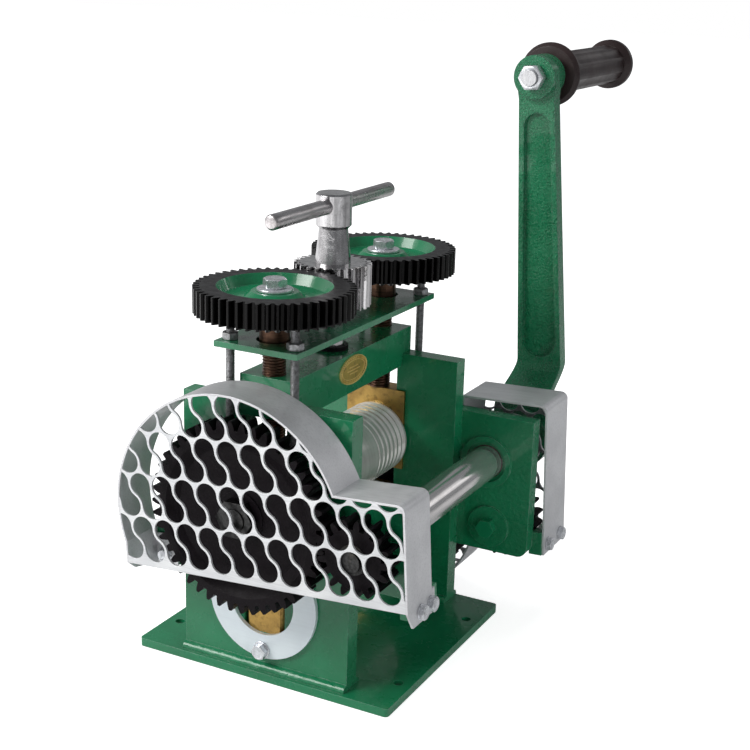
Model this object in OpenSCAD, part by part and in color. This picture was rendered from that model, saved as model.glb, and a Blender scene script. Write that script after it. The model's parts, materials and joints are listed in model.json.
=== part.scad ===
// Jewellers rolling mill with a hand crank.
// Origin: centre of the base underside. X is the feed, Y runs along the rolls, Z is up.

/* [Base] */
// Width of the base plate across the rolls
base_w = 200; // [190:1:260]
// Depth of the base plate along the rolls
base_d = 184; // [182:1:240]
// Thickness of the base plate
base_t = 6; // [4:0.5:8]
// Spacing of the base holes across the rolls
hole_spacing_x = 180; // [160:1:182]
// Spacing of the base holes along the rolls
hole_spacing_y = 112; // [80:1:160]
// Diameter of the base holes
base_hole_d = 7; // [4:0.5:9]

/* [Frame] */
// Distance of the middle of the rolls behind the middle of the base
mid_y = 2; // [0:0.5:4]
// Width of a frame plate
plate_w = 130; // [124:1:150]
// Thickness of a frame plate
plate_t = 13.5; // [12:0.5:16]
// Height of the top of the frame plates
plate_top = 197; // [192:1:204]
// Width of the window for the bearings
window_w = 32.5; // [31:0.5:36]
// Height of the bottom of the window
window_bottom = 33; // [26:1:36]
// Radius of the window corners
window_r = 4; // [2:0.5:6]
// Size of the weld bead along the foot of a plate
weld_size = 4.5; // [2:0.5:5]

/* [Beam and top plate] */
// Width of the top beam
beam_w = 40; // [38:0.5:46]
// Height of the top beam
beam_h = 28; // [24:0.5:34]
// Depth of the notch that the top beam sits in
beam_seat = 9.5; // [6:0.5:12]
// Width of the oval badge
badge_w = 38.5; // [20:0.5:44]
// Height of the oval badge
badge_h = 20.2; // [10:0.2:24]
// Thickness of the oval badge
badge_t = 1.2; // [0.6:0.1:2]
// Width of the top plate
top_plate_w = 62.6; // [58:0.2:70]
// Length of the top plate
top_plate_d = 200; // [196:1:220]
// Thickness of the top plate
top_plate_t = 4; // [3:0.5:5]
// Height of the top plate above the top beam
top_plate_rise = 19.5; // [18:0.5:21]
// Diameter of the studs
stud_d = 6; // [5:0.5:8]
// Spacing of the studs across the rolls
stud_spacing = 49; // [46:0.5:50]
// Length of the studs above the top plate
stud_reach = 13; // [11:0.5:14]

/* [Rolls] */
// Diameter of the rolls
roll_d = 55; // [50:0.5:57]
// Length of the working face of a roll
barrel_len = 140; // [136:1:144]
// Height of the lower roll
lower_z = 67; // [66:0.5:68]
// Gap between the rolls at rest
roll_gap = 7; // [6.9:0.1:9]
// Diameter of the journals in the bearings
journal_d = 24; // [22:0.5:26]
// Diameter of the seats of the roll gears
gear_seat_d = 20; // [18:0.5:21]
// Number of wire grooves
groove_count = 7; // [3:1:9]
// Spacing of the wire grooves
groove_pitch = 6.4; // [4:0.2:7]
// Width of the widest wire groove
groove_w = 5.2; // [3:0.1:5.8]

/* [Gear train] */
// Module of the drive gears
drive_module = 2.75; // [2.7:0.05:2.8]
// Teeth of each roll gear
roll_gear_teeth = 46; // [45:1:46]
// Teeth of each countershaft pinion
pinion_teeth = 17; // [17:1:18]
// Teeth of the idler
idler_teeth = 20; // [19:1:20]
// Width of the drive gears
gear_w = 16; // [12:0.5:18]
// Distance from the middle of the rolls to the near side of the drive gears
gear_y = 106; // [105:0.5:108]
// Drop of the countershaft below the upper roll
shaft_drop = 8.5; // [7:0.5:10]
// Diameter of the countershaft between the brackets
shaft_d = 25; // [23:0.5:27]
// Diameter of the idler pin
idler_pin_d = 16; // [14:0.5:18]

/* [Screw down] */
// Diameter of the pressure screws
screw_d = 15.8; // [14:0.1:17]
// Module of the adjusting gears
adjust_module = 2; // [1.96:0.02:2.04]
// Teeth of each side gear
side_teeth = 51; // [50:1:52]
// Teeth of the adjusting pinion
adjust_teeth = 25; // [24:1:26]
// Thickness of a side gear
side_gear_t = 17.5; // [14:0.5:18]
// Height of the side gears above the top plate
side_gear_rise = 18.5; // [17:0.5:20]
// Length of the teeth of the adjusting pinion
pinion_len = 30; // [28:0.5:32]
// Drop of the adjusting pinion below the side gears
adjust_drop = 10.5; // [9:0.5:10.5]
// Diameter of the column of the adjusting pinion
column_d = 18; // [16:0.5:20]
// Length of the cross rod
tee_len = 164; // [140:1:190]
// Diameter of the cross rod
tee_d = 10.5; // [8:0.5:12]

/* [Brackets] */
// Thickness of the shaft brackets
bracket_t = 12; // [10:0.5:14]
// Wall of the shaft bushes
bush_wall = 3; // [2:0.5:4]

/* [Guards] */
// Thickness of the guard sheet
sheet_t = 1.5; // [1:0.1:2]
// Outer radius of the dome of the front guard
dome_r = 86; // [80:0.5:90]
// Distance of the right wall of the front guard from the dome centre
front_guard_right = 129.4; // [126:0.2:134]
// Lean of the front guard to the left
front_guard_tilt = 3.9; // [2:0.1:5]
// Lean of the rear guard to the left
rear_guard_tilt = 2.3; // [1:0.1:3]
// Spacing of the slots along a row
slot_pitch = 17.52; // [17:0.02:20]
// Spacing of the rows of slots
row_pitch = 30.3; // [29.5:0.1:34]
// Radius of the round ends of a slot
slot_r = 7.1; // [5:0.1:7.3]
// Half width of the neck of a slot
slot_neck = 5.4; // [3:0.1:6.5]

/* [Crank] */
// Distance from the countershaft to the handle
crank_len = 274.2; // [220:1:300]
// Lean of the crank to the left at rest
crank_tilt = 4.22; // [0:0.1:10]
// Thickness of the crank arm
arm_t = 11.5; // [9:0.5:13]
// Width of the crank arm below the handle
arm_top_w = 29; // [25:0.5:32]
// Width of the crank arm above its bend
arm_low_w = 36.5; // [32:0.5:42]
// Diameter of the hub of the crank
hub_d = 48; // [40:1:52]
// Diameter of the body of the grip
grip_d = 32; // [26:0.5:36]
// Number of ribs on the grip
grip_ribs = 10; // [6:1:14]
// Length of the grip with its flanges
grip_len = 150; // [110:1:160]

/* [Hidden] */

// Clearances and the overrun of cuts
run_gap = 0.05;
slide_gap = 0.15;
rest_gap = 0.3;
window_gap = 0.25;
tooth_play = 0.25;
over = 1;

// Base corners and the place of the badge
base_corner_r = 3;
badge_shift_share = 0.12;
badge_rise_share = 0.59;

// Distances from the middle of the rolls outward
flange_t = 2.25;
barrel_end = barrel_len / 2;
plate_in = barrel_end + rest_gap + flange_t + slide_gap;
plate_out = plate_in + plate_t;
block_out = plate_out + slide_gap;
yoke_t = 9;
yoke_side = 6.5;
yoke_low = 16;
yoke_high = 36;
stud_seat = 19;
stud_nut_h_share = 0.83;
stud_nut_af_share = 1.67;
yoke_out = block_out + yoke_t;
bracket_out = plate_out + bracket_t;
gear_end = gear_y + gear_w;

// Rolls, bearings and the window
roll_r = roll_d / 2;
journal_r = journal_d / 2;
upper_z = lower_z + roll_d + roll_gap;
block_w = window_w - 2 * window_gap;
block_reach = 22;
lower_block_top = lower_z + block_reach;
upper_block_bottom = upper_z - block_reach;
screw_foot_rise = 39.5;
screw_foot_z = upper_z + screw_foot_rise;
flange_side = 7.5;
flange_spread = 0.5;
flange_w = block_w + 2 * flange_side;
upper_flange_w = flange_w + 2 * flange_spread;
block_chamfer = 3.6;
foot_cut_share = 0.6;
foot_cut = window_r * foot_cut_share;
groove_cut_share = 0.11;
groove_start = 1.6;

// Drive gears, worked out from the centre distances
pressure_angle = 20;
shaft_z = upper_z - shaft_drop;
front_centres = drive_module * (roll_gear_teeth + pinion_teeth) / 2;
shaft_x = sqrt(pow(front_centres, 2) - pow(shaft_drop, 2));
lower_centres = drive_module * (roll_gear_teeth + idler_teeth) / 2;
idler_centres = drive_module * (pinion_teeth + idler_teeth) / 2;
shaft_rise = shaft_z - lower_z;
link_len = norm([shaft_x, shaft_rise]);
link_along = (pow(lower_centres, 2) - pow(idler_centres, 2) + pow(link_len, 2)) / (2 * link_len);
link_off = sqrt(pow(lower_centres, 2) - pow(link_along, 2));
idler_x = (shaft_x * link_along + shaft_rise * link_off) / link_len;
idler_z = lower_z + (shaft_rise * link_along - shaft_x * link_off) / link_len;
gear_seat_r = gear_seat_d / 2;
gear_hub_r = 17.5;
gear_hub_in = yoke_out + 2 * rest_gap;
hub_recess = 4;
gear_hub_out = gear_end - hub_recess;
gear_rim_r = 55;
gear_web_r = 47;
gear_dish = 5;
stub_r = 8;
stub_reach = 4;
stub_end = gear_end + stub_reach;
nut_h = 7;
nut_af = 24;
shaft_r = shaft_d / 2;
shoulder_back = 2;
shaft_shoulder = gear_y - shoulder_back;
stub_step = 0.5;
pinion_hub_r = 16;
shaft_stub_r = 7.5;
shaft_stub_end = 127.5;
spacer_wall = 3.2;

// Ring cover and its bolt
cover_r = 42;
cover_hole_r = 24.5;
cover_drop = 10;
cover_t = 3;
cover_bolt_drop = 46.2;
cover_bolt_hole_r = 3.1;
cover_bolt_af = 10;
cover_bolt_h = 4.5;
cover_washer_r = 6.5;
cover_washer_t = 1;

// Screw down
screw_r = screw_d / 2;
beam_bottom = plate_top - beam_seat;
beam_top = beam_bottom + beam_h;
top_plate_z = beam_top + top_plate_rise;
stud_top = top_plate_z + top_plate_t + stud_reach;
side_gear_z = top_plate_z + top_plate_t + side_gear_rise;
collar_top = top_plate_z - rest_gap;
adjust_z = side_gear_z - adjust_drop;
lift_collar_r = 13;
lift_collar_h = 4;
gear_collar_r = 10;
spigot_r = 6;
side_hub_h = 14;
side_hub_top = side_gear_z + side_hub_h;
side_dish = 7;
dish_top_r = 38;
dish_low_r = 34;
hub_low_r = 20;
hub_top_r = 15.5;
bolt_af = 14;
bolt_head_h = 6.5;
bolt_shank_r = 4;
bolt_shank_len = 22;
washer_r = 12;
washer_t = 2;
screw_y = adjust_module * (side_teeth + adjust_teeth) / 2;
column_r = column_d / 2;
column_floor = 7.5;
column_foot_z = beam_bottom + column_floor;
hub_cone_low_r = 12.6;
hub_cone_top_r = 10;
hub_neck = 2.5;
hub_edge = 1.2;
tee_hub_r = 12.5;
pinion_cone_h = 26;
tee_hub_z = adjust_z + pinion_len + pinion_cone_h;
tee_hub_h = 22;
tee_rise = 13.5;
tee_z = tee_hub_z + tee_rise;
ring_h = 3;
ring_r = 12;
plate_hole_r = 12;

// Guards and their lugs
front_guard_x = -2.5;
front_guard_drop = 0.5;
front_guard_z = upper_z - front_guard_drop;
guard_stand_off = 6.5;
guard_front = gear_end + guard_stand_off;
guard_depth = 34;
guard_face_y = guard_front + sheet_t;
guard_back = guard_face_y - guard_depth;
guard_left = 82.2;
guard_foot = 40.2;
guard_strip = 2.2;
guard_shelf = 30;
corner_r = 5;
tab_drop = 12;
tab_chamfer = 7;
tab_step = 4;
left_tab_share = 0.5;
left_bolt_share = 0.45;
slot_margin = 12;
slot_lean_share = 0.478;
slot_drop_share = 0.56;
slot_x = -48.92;
slot_z = -11.4;
row_shift = 0.37;
neck_angle = 50;
rear_right = 42.5;
rear_top = 45;
rear_left = 25;
rear_foot = 72;
rear_waist = 29;
idler_room = 4;
rear_depth = 42.5;
rear_near = bracket_out + rest_gap;
rear_far = rear_near + rear_depth;
rear_dome_r = 74;
rear_cut_z = 9;
rear_slot_margin = 8;
rear_ring_r = 22;
rear_hole_r = 15;
lug_w = 10;
lug_h = 16;
bracket_lap = 25;
bracket_left = plate_w / 2 - bracket_lap;
rear_bracket_side = 35.8;
rear_bracket_drop = 70.5;
rear_bracket_rise = 36.5;
rear_bracket_right = shaft_x + rear_bracket_side;
rear_bracket_low = shaft_z - rear_bracket_drop;
rear_bracket_high = shaft_z + rear_bracket_rise;
rear_bracket_r = 8;
front_bracket_side = 34.8;
front_bracket_drop = 30.5;
front_bracket_rise = 29.5;
front_bracket_right = shaft_x + front_bracket_side;
front_bracket_low = shaft_z - front_bracket_drop;
front_bracket_high = shaft_z + front_bracket_rise;
front_bracket_r = 4;
front_lug_len = 20;
front_lug_lift = 2;
rear_lug_len = 36;
rear_lug_h = 18;
bush_ring = 7.5;
ring_proud = 2;
idler_boss_r = 16;
idler_hub_r = 13;
idler_af = 13;
idler_head_h = 6.4;
idler_nut_in = gear_end + rest_gap + washer_t;
left_tab_w = 18;
left_tab_h = 22;
guard_bolt_af = 9;
guard_bolt_h = 4;
bolt_rim = 0.8;
rear_bolts_in = 8;
rear_bolts_out = 10;
rear_bolts_rise = 7;
front_bolts_in = 2;
front_bolts_out = 16;
front_bolts_drop = 5;
guard_arm_left = 88;
guard_arm_right = 50;
guard_arm_low = 72;
guard_arm_high = 96;
guard_arm_t = 9;

// Crank
hub_stand_off = 7;
hub_in = rear_far + hub_stand_off;
hub_len = 22;
arm_reach = 45;
arm_in = hub_in + arm_reach;
hub_step = 4;
bend_in = hub_in + hub_step;
bend_low = 24;
bend_high = 52;
boss_r = 16.5;
boss_back = 5;
boss_front = 6.5;
boss_in = arm_in - boss_back;
boss_out = arm_in + arm_t + boss_front;
recess_depth = 3.5;
recess_low = 55;
recess_top = 27.2;
recess_high = crank_len - recess_top;
recess_low_w = 28;
recess_high_w = 21;
handle_r = 6;
crank_nut_af = 19;
crank_nut_h = 8;
stud_nose = 3;
spindle_rim = 3;
grip_stand_off = 7;
grip_in = boss_out + grip_stand_off;
grip_flange_r = 24.5;
grip_flange_t = 9;
grip_end_r = 20.5;
grip_end_t = 12;
grip_flute = 1.1;
grip_round = 3;
grip_rim = 5;
grip_foot = 2;
grip_swell = 4;
flute_share = 0.62;

// Children drawn in X and Z, thickened along Y
module along_y(from, to) {
    translate([0, to, 0]) rotate([90, 0, 0]) linear_extrude(to - from) children();
}

// Round rod along Y
module rod(r, from, to) {
    translate([0, from, 0]) rotate([-90, 0, 0]) cylinder(r = r, h = to - from, $fn = 64);
}

// Profile of [radius, distance] points turned about Y
module turned(points) {
    rotate([-90, 0, 0]) rotate_extrude($fn = 96) polygon(points);
}

// Children modelled outward from the middle of the rolls, for the front (-1) or the rear (1)
module at_side(side) {
    translate([0, mid_y, 0]) mirror([0, side < 0 ? 1 : 0, 0]) children();
}

// Hexagon with a given distance across its flats
module hexagon(af) {
    circle(r = af / sqrt(3), $fn = 6);
}

// Rectangle with round corners
module round_rect(w, h, r) {
    square([w - 2 * r, h], center = true);
    square([w, h - 2 * r], center = true);
    for (sx = [-1, 1]) {
        for (sy = [-1, 1]) {
            translate([sx * (w / 2 - r), sy * (h / 2 - r)]) circle(r = r, $fn = 32);
        }
    }
}

// Rectangle from one corner to the other
module box2(x0, x1, y0, y1) {
    translate([x0, y0]) square([x1 - x0, y1 - y0]);
}

// Gear teeth: involute flanks by formula, with radial roots
function involute(base_r, r) = r <= base_r ? 0 : sqrt(pow(r / base_r, 2) - 1) * 180 / PI - acos(base_r / r);
function pitch_r(teeth, size) = teeth * size / 2;
function tooth_half(teeth, size, play, r) =
    let(base_r = pitch_r(teeth, size) * cos(pressure_angle))
    90 / teeth - play * 90 / (PI * pitch_r(teeth, size))
        + involute(base_r, pitch_r(teeth, size)) - involute(base_r, r);
function root_r(teeth, size) = (teeth - 2.5) * size / 2;
function tip_r(teeth, size) = (teeth + 2) * size / 2;
function flank_radii(teeth, size) =
    let(base_r = pitch_r(teeth, size) * cos(pressure_angle),
        low = max(base_r, (root_r(teeth, size) + pitch_r(teeth, size)) / 2))
    [root_r(teeth, size), low, (low + tip_r(teeth, size)) / 2, tip_r(teeth, size)];
function gear_points(teeth, size, play, phase) =
    let(radii = flank_radii(teeth, size), last = len(radii) - 1)
    [for (tooth = [0:teeth - 1], step = [0:2 * last + 1])
        let(index = step <= last ? step : 2 * last + 1 - step,
            half = tooth_half(teeth, size, play, radii[index]),
            angle = phase + tooth * 360 / teeth + (step <= last ? -half : half))
        radii[index] * [cos(angle), sin(angle)]];

// Angle of a tooth on gear b that meshes with gear a, seen from a in a given direction
function mate_phase(direction, phase_a, teeth_a, teeth_b) =
    direction + 180 - (0.5 - (direction - phase_a) * teeth_a / 360) * 360 / teeth_b;

upper_phase = 0;
front_pinion_phase = mate_phase(atan2(-shaft_drop, shaft_x), upper_phase, roll_gear_teeth, pinion_teeth);
rear_pinion_phase = front_pinion_phase;
idler_direction = atan2(idler_z - shaft_z, idler_x - shaft_x);
idler_phase = mate_phase(idler_direction, rear_pinion_phase, pinion_teeth, idler_teeth);
lower_phase = mate_phase(atan2(lower_z - idler_z, -idler_x), idler_phase, idler_teeth, roll_gear_teeth);
adjust_phase = 0;

module drive_teeth(teeth, phase) {
    polygon(gear_points(teeth, drive_module, tooth_play, phase));
}

// Base and frame
module base_plate() {
    color("seagreen") difference() {
        linear_extrude(base_t) round_rect(base_w, base_d, base_corner_r);
        for (sx = [-1, 1]) {
            for (sy = [-1, 1]) {
                translate([sx * hole_spacing_x / 2, sy * hole_spacing_y / 2, -over])
                    cylinder(r = base_hole_d / 2, h = base_t + 2 * over, $fn = 32);
            }
        }
    }
}

module plate_outline() {
    difference() {
        box2(-plate_w / 2, plate_w / 2, base_t, plate_top);
        box2(-window_w / 2 + window_r, window_w / 2 - window_r, window_bottom, plate_top + over);
        box2(-window_w / 2, window_w / 2, window_bottom + window_r, plate_top + over);
        for (sx = [-1, 1]) {
            translate([sx * (window_w / 2 - window_r), window_bottom + window_r])
                circle(r = window_r, $fn = 32);
        }
        box2(-beam_w / 2, beam_w / 2, beam_bottom, plate_top + over);
    }
}

module weld_bead(y, turn) {
    translate([-plate_w / 2, y, base_t]) rotate([90, 0, 90]) linear_extrude(plate_w) intersection() {
        circle(r = weld_size, $fn = 48);
        box2(turn < 0 ? -weld_size - over : 0, turn < 0 ? 0 : weld_size + over, 0, weld_size + over);
    }
}

module frame_plate(side) {
    color("seagreen") at_side(side) {
        along_y(plate_in, plate_out) plate_outline();
        weld_bead(plate_in, -1);
        weld_bead(plate_out, 1);
    }
}
module front_frame_plate() { frame_plate(-1); }
module rear_frame_plate() { frame_plate(1); }

module top_beam() {
    color("seagreen") difference() {
        translate([-beam_w / 2, mid_y - plate_out, beam_bottom]) cube([beam_w, 2 * plate_out, beam_h]);
        for (side = [-1, 1]) {
            translate([0, mid_y + side * screw_y, beam_bottom - over])
                cylinder(r = screw_r + 2 * run_gap, h = beam_h + 2 * over, $fn = 64);
        }
        translate([0, mid_y, column_foot_z]) cylinder(r = column_r + run_gap, h = beam_h, $fn = 64);
    }
}

module badge() {
    color("goldenrod") translate([beam_w / 2, mid_y, beam_bottom])
        translate([0, -badge_w * badge_shift_share, beam_h * badge_rise_share])
        rotate([90, 0, 90]) linear_extrude(badge_t)
            polygon([for (step = [0:59]) [badge_w / 2 * cos(6 * step), badge_h / 2 * sin(6 * step)]]);
}

// Brass bearings
module bearing_block(bottom, top, out, lean) {
    difference() {
        along_y(barrel_end + rest_gap, out) box2(-block_w / 2, block_w / 2, bottom, top);
        for (sx = [-1, 1]) {
            translate([sx * block_w / 2, out, bottom - over]) rotate([0, 0, 45])
                translate([-lean, -lean, 0]) cube([2 * lean, 2 * lean, top - bottom + 2 * over]);
        }
    }
}

module lower_bearing(side) {
    color("darkgoldenrod") at_side(side) difference() {
        union() {
            bearing_block(window_bottom, lower_block_top, plate_out, block_chamfer * sqrt(0.5));
            along_y(barrel_end + rest_gap, plate_in)
                box2(-flange_w / 2, flange_w / 2, window_bottom + window_r, lower_block_top);
        }
        translate([0, 0, lower_z]) rod(journal_r + run_gap, barrel_end, plate_out + over);
        lower_block_corners();
    }
}

// The foot of the lower block clears the round corners of the window
module lower_block_corners() {
    for (sx = [-1, 1]) {
        translate([sx * block_w / 2, barrel_end, window_bottom]) rotate([0, 45, 0])
            translate([-foot_cut, 0, -foot_cut]) cube([2 * foot_cut, block_out - barrel_end, 2 * foot_cut]);
    }
}
module lower_bearing_front() { lower_bearing(-1); }
module lower_bearing_rear() { lower_bearing(1); }

module upper_bearing(side) {
    color("darkgoldenrod") at_side(side) difference() {
        union() {
            bearing_block(upper_block_bottom, screw_foot_z, block_out, slide_gap);
            along_y(barrel_end + rest_gap, plate_in - slide_gap)
                box2(-upper_flange_w / 2, upper_flange_w / 2, upper_block_bottom, screw_foot_z);
        }
        translate([0, 0, upper_z]) rod(journal_r + run_gap, barrel_end, block_out + over);
    }
}
module upper_bearing_front() { upper_bearing(-1); }
module upper_bearing_rear() { upper_bearing(1); }

// Hangers of the upper bearings
module stud_yoke(side) {
    color("dimgray") at_side(side) difference() {
        along_y(block_out, yoke_out)
            box2(-stud_spacing / 2 - yoke_side, stud_spacing / 2 + yoke_side,
                upper_z + yoke_low, upper_z + yoke_high);
        for (sx = [-1, 1]) {
            translate([sx * stud_spacing / 2, (block_out + yoke_out) / 2, upper_z + stud_seat])
                cylinder(r = stud_d / 2, h = yoke_high - stud_seat + over, $fn = 32);
        }
    }
}
module front_stud_yoke() { stud_yoke(-1); }
module rear_stud_yoke() { stud_yoke(1); }

module at_studs() {
    for (side = [-1, 1]) {
        for (sx = [-1, 1]) {
            translate([sx * stud_spacing / 2, mid_y + side * (block_out + yoke_out) / 2, 0]) children();
        }
    }
}

module studs() {
    color("silver") at_studs() translate([0, 0, upper_z + stud_seat])
        cylinder(r = stud_d / 2, h = stud_top - upper_z - stud_seat, $fn = 32);
}

module stud_nuts() {
    color("silver") at_studs() translate([0, 0, top_plate_z + top_plate_t]) difference() {
        linear_extrude(stud_d * stud_nut_h_share) hexagon(stud_d * stud_nut_af_share);
        translate([0, 0, -over]) cylinder(r = stud_d / 2, h = stud_d + 2 * over, $fn = 32);
    }
}

module top_plate() {
    color("seagreen") difference() {
        translate([-top_plate_w / 2, mid_y - top_plate_d / 2, top_plate_z])
            cube([top_plate_w, top_plate_d, top_plate_t]);
        for (side = [-1, 0, 1]) {
            translate([0, mid_y + side * screw_y, top_plate_z - over])
                cylinder(r = plate_hole_r, h = top_plate_t + 2 * over, $fn = 64);
        }
        at_studs() translate([0, 0, top_plate_z - over])
            cylinder(r = stud_d / 2 + window_gap, h = top_plate_t + 2 * over, $fn = 32);
    }
}

// Rolls: front end of the upper roll and rear end of the lower one carry the gears
function groove_points() = [for (groove = [0:groove_count - 1])
    let(centre = barrel_end - groove_start - groove_pitch * (groove + 0.5),
        half = groove_w / 2 * (1 - groove_cut_share * groove))
    each [[roll_r, centre + half], [roll_r - half, centre], [roll_r, centre - half]]];

module roll(gear_side) {
    grooves = groove_points();
    turned(concat(
        [[0, -gear_side * stub_end], [0, gear_side * plate_out]],
        [[journal_r, gear_side * plate_out], [journal_r, gear_side * barrel_end]],
        [[roll_r, gear_side * barrel_end]],
        gear_side > 0 ? grooves : [for (index = [len(grooves) - 1:-1:0]) grooves[index]],
        [[roll_r, -gear_side * barrel_end], [journal_r, -gear_side * barrel_end]],
        [[journal_r, -gear_side * gear_hub_in], [gear_seat_r, -gear_side * gear_hub_in]],
        [[gear_seat_r, -gear_side * gear_hub_out], [stub_r, -gear_side * gear_hub_out]],
        [[stub_r, -gear_side * stub_end]]
    ));
}

module upper_roll() {
    color("silver") translate([0, mid_y, upper_z]) roll(1);
}

module lower_roll() {
    color("silver") translate([0, mid_y, lower_z]) roll(-1);
}

module roll_gear(phase) {
    difference() {
        union() {
            along_y(gear_y, gear_end) drive_teeth(roll_gear_teeth, phase);
            rod(gear_hub_r, gear_hub_in, gear_hub_out);
        }
        turned([[gear_hub_r, gear_end + over], [gear_hub_r, gear_end - gear_dish],
            [gear_web_r, gear_end - gear_dish], [gear_rim_r, gear_end], [gear_rim_r, gear_end + over]]);
        turned([[gear_hub_r, gear_y - over], [gear_hub_r, gear_y + gear_dish],
            [gear_web_r, gear_y + gear_dish], [gear_rim_r, gear_y], [gear_rim_r, gear_y - over]]);
        rod(gear_hub_r + over, gear_hub_out, gear_end + over);
        rod(gear_seat_r + run_gap, gear_hub_in - over, gear_end + over);
    }
}

module upper_roll_gear() {
    color("dimgray") at_side(-1) translate([0, 0, upper_z]) roll_gear(upper_phase);
}

module lower_roll_gear() {
    color("dimgray") at_side(1) translate([0, 0, lower_z]) roll_gear(lower_phase);
}

module gear_nut() {
    difference() {
        along_y(gear_hub_out, gear_hub_out + nut_h) hexagon(nut_af);
        rod(stub_r, gear_hub_out - over, stub_end + over);
    }
}
module upper_gear_nut() { color("silver") at_side(-1) translate([0, 0, upper_z]) gear_nut(); }
module lower_gear_nut() { color("silver") at_side(1) translate([0, 0, lower_z]) gear_nut(); }

module roll_spacer() {
    difference() {
        rod(journal_r + spacer_wall, block_out + rest_gap, gear_hub_in - rest_gap);
        rod(journal_r + run_gap, block_out, gear_hub_in);
    }
}
module upper_roll_spacer() { color("silver") at_side(-1) translate([0, 0, upper_z]) roll_spacer(); }
module lower_roll_spacer() { color("silver") at_side(1) translate([0, 0, lower_z]) roll_spacer(); }

module ring_cover() {
    color("lightgray") at_side(-1) difference() {
        translate([0, 0, lower_z - cover_drop]) rod(cover_r, plate_out, plate_out + cover_t);
        translate([0, 0, lower_z - cover_drop])
            rod(cover_hole_r, plate_out - over, plate_out + cover_t + over);
        translate([0, 0, lower_z - cover_bolt_drop])
            rod(cover_bolt_hole_r, plate_out - over, plate_out + cover_t + over);
    }
}

module ring_bolt() {
    head_in = plate_out + cover_t + cover_washer_t;
    color("silver") at_side(-1) translate([0, 0, lower_z - cover_bolt_drop]) {
        rod(cover_washer_r, plate_out + cover_t, head_in);
        along_y(head_in, head_in + cover_bolt_h) hexagon(cover_bolt_af);
    }
}

// Brackets, bushes and the idler
module bracket_outline(x1, z0, z1, r) {
    difference() {
        union() {
            box2(bracket_left, x1 - r, z0, z1);
            box2(x1 - r - over, x1, z0 + r, z1);
            translate([x1 - r, z0 + r]) circle(r = r, $fn = 32);
        }
        translate([shaft_x, shaft_z]) circle(r = shaft_r + run_gap + bush_wall, $fn = 64);
    }
}

module rear_guard_place() {
    translate([shaft_x, 0, shaft_z]) rotate([0, -rear_guard_tilt, 0]) children();
}

module front_guard_place() {
    translate([front_guard_x, 0, front_guard_z]) rotate([0, -front_guard_tilt, 0]) children();
}

module rear_bracket() {
    color("seagreen") at_side(1) difference() {
        union() {
            along_y(plate_out, bracket_out)
                bracket_outline(rear_bracket_right, rear_bracket_low, rear_bracket_high, rear_bracket_r);
            along_y(plate_out - ring_proud, plate_out) difference() {
                translate([shaft_x, shaft_z]) circle(r = shaft_r + bush_ring, $fn = 64);
                translate([shaft_x, shaft_z]) circle(r = shaft_r + run_gap + bush_wall, $fn = 64);
            }
            translate([idler_x, 0, idler_z]) rod(idler_boss_r, plate_out - ring_proud, plate_out);
            rear_guard_place() along_y(bracket_out - over, bracket_out + rear_lug_len)
                box2(rear_right - sheet_t - lug_w, rear_right - sheet_t, -rear_foot, -rear_foot + rear_lug_h);
        }
        translate([idler_x, 0, idler_z])
            rod(tip_r(idler_teeth, drive_module) + over, bracket_out + over, gear_end + idler_head_h);
        translate([idler_x, 0, idler_z])
            rod(bolt_shank_r + run_gap, plate_out - ring_proud - over, bracket_out + over);
    }
}

module front_bracket() {
    color("seagreen") at_side(-1) {
        along_y(plate_out, bracket_out)
            bracket_outline(front_bracket_right, front_bracket_low, front_bracket_high, front_bracket_r);
        front_guard_place() along_y(plate_out, bracket_out + front_lug_len)
            box2(front_guard_right - sheet_t - lug_w, front_guard_right - sheet_t,
                -guard_foot - tab_drop + front_lug_lift, -guard_foot - tab_drop + lug_h);
    }
}

module bush() {
    translate([shaft_x, 0, shaft_z]) difference() {
        rod(shaft_r + run_gap + bush_wall, plate_out, bracket_out);
        rod(shaft_r + run_gap, plate_out - over, bracket_out + over);
    }
}
module front_bush() { color("darkgoldenrod") at_side(-1) bush(); }
module rear_bush() { color("darkgoldenrod") at_side(1) bush(); }

module idler_bolt() {
    color("dimgray") at_side(1) translate([idler_x, 0, idler_z]) {
        along_y(plate_out - ring_proud - idler_head_h, plate_out - ring_proud) hexagon(idler_af);
        rod(bolt_shank_r, plate_out - ring_proud, bracket_out);
        rod(idler_pin_d / 2, bracket_out, gear_end + rest_gap);
        rod(washer_r, gear_end + rest_gap, idler_nut_in);
        along_y(idler_nut_in, idler_nut_in + idler_head_h) hexagon(idler_af);
    }
}

module idler_gear() {
    color("dimgray") at_side(1) translate([idler_x, 0, idler_z]) difference() {
        union() {
            along_y(gear_y, gear_end) drive_teeth(idler_teeth, idler_phase);
            rod(idler_hub_r, bracket_out + rest_gap, gear_y);
        }
        rod(idler_pin_d / 2 + run_gap, bracket_out, gear_end + over);
    }
}

// Guards
function slot_half(side) =
    let(lobe = side > 0 ? 0 : slot_gap_len())
    [for (step = [0:14])
        let(angle = (side > 0 ? 0 : 180) + neck_angle + step * (360 - 2 * neck_angle) / 14)
        [lobe + slot_r * cos(angle), slot_r * sin(angle)]];
function slot_lean() = [slot_pitch * slot_lean_share, -row_pitch * slot_drop_share];
function slot_gap_len() = norm(slot_lean());
function slot_points() = concat(slot_half(1), [[slot_gap_len() / 2, -slot_neck]],
    slot_half(-1), [[slot_gap_len() / 2, slot_neck]]);

module slots(left, right, low, high) {
    lean = slot_lean();
    for (row = [floor((low - slot_z) / row_pitch):ceil((high - slot_z - lean[1]) / row_pitch)]) {
        for (column = [floor((left - slot_x) / slot_pitch) - 1:ceil((right - slot_x) / slot_pitch)]) {
            translate([slot_x + column * slot_pitch + row * row_shift, slot_z + row * row_pitch])
                rotate(atan2(lean[1], lean[0])) polygon(slot_points());
        }
    }
}

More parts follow.
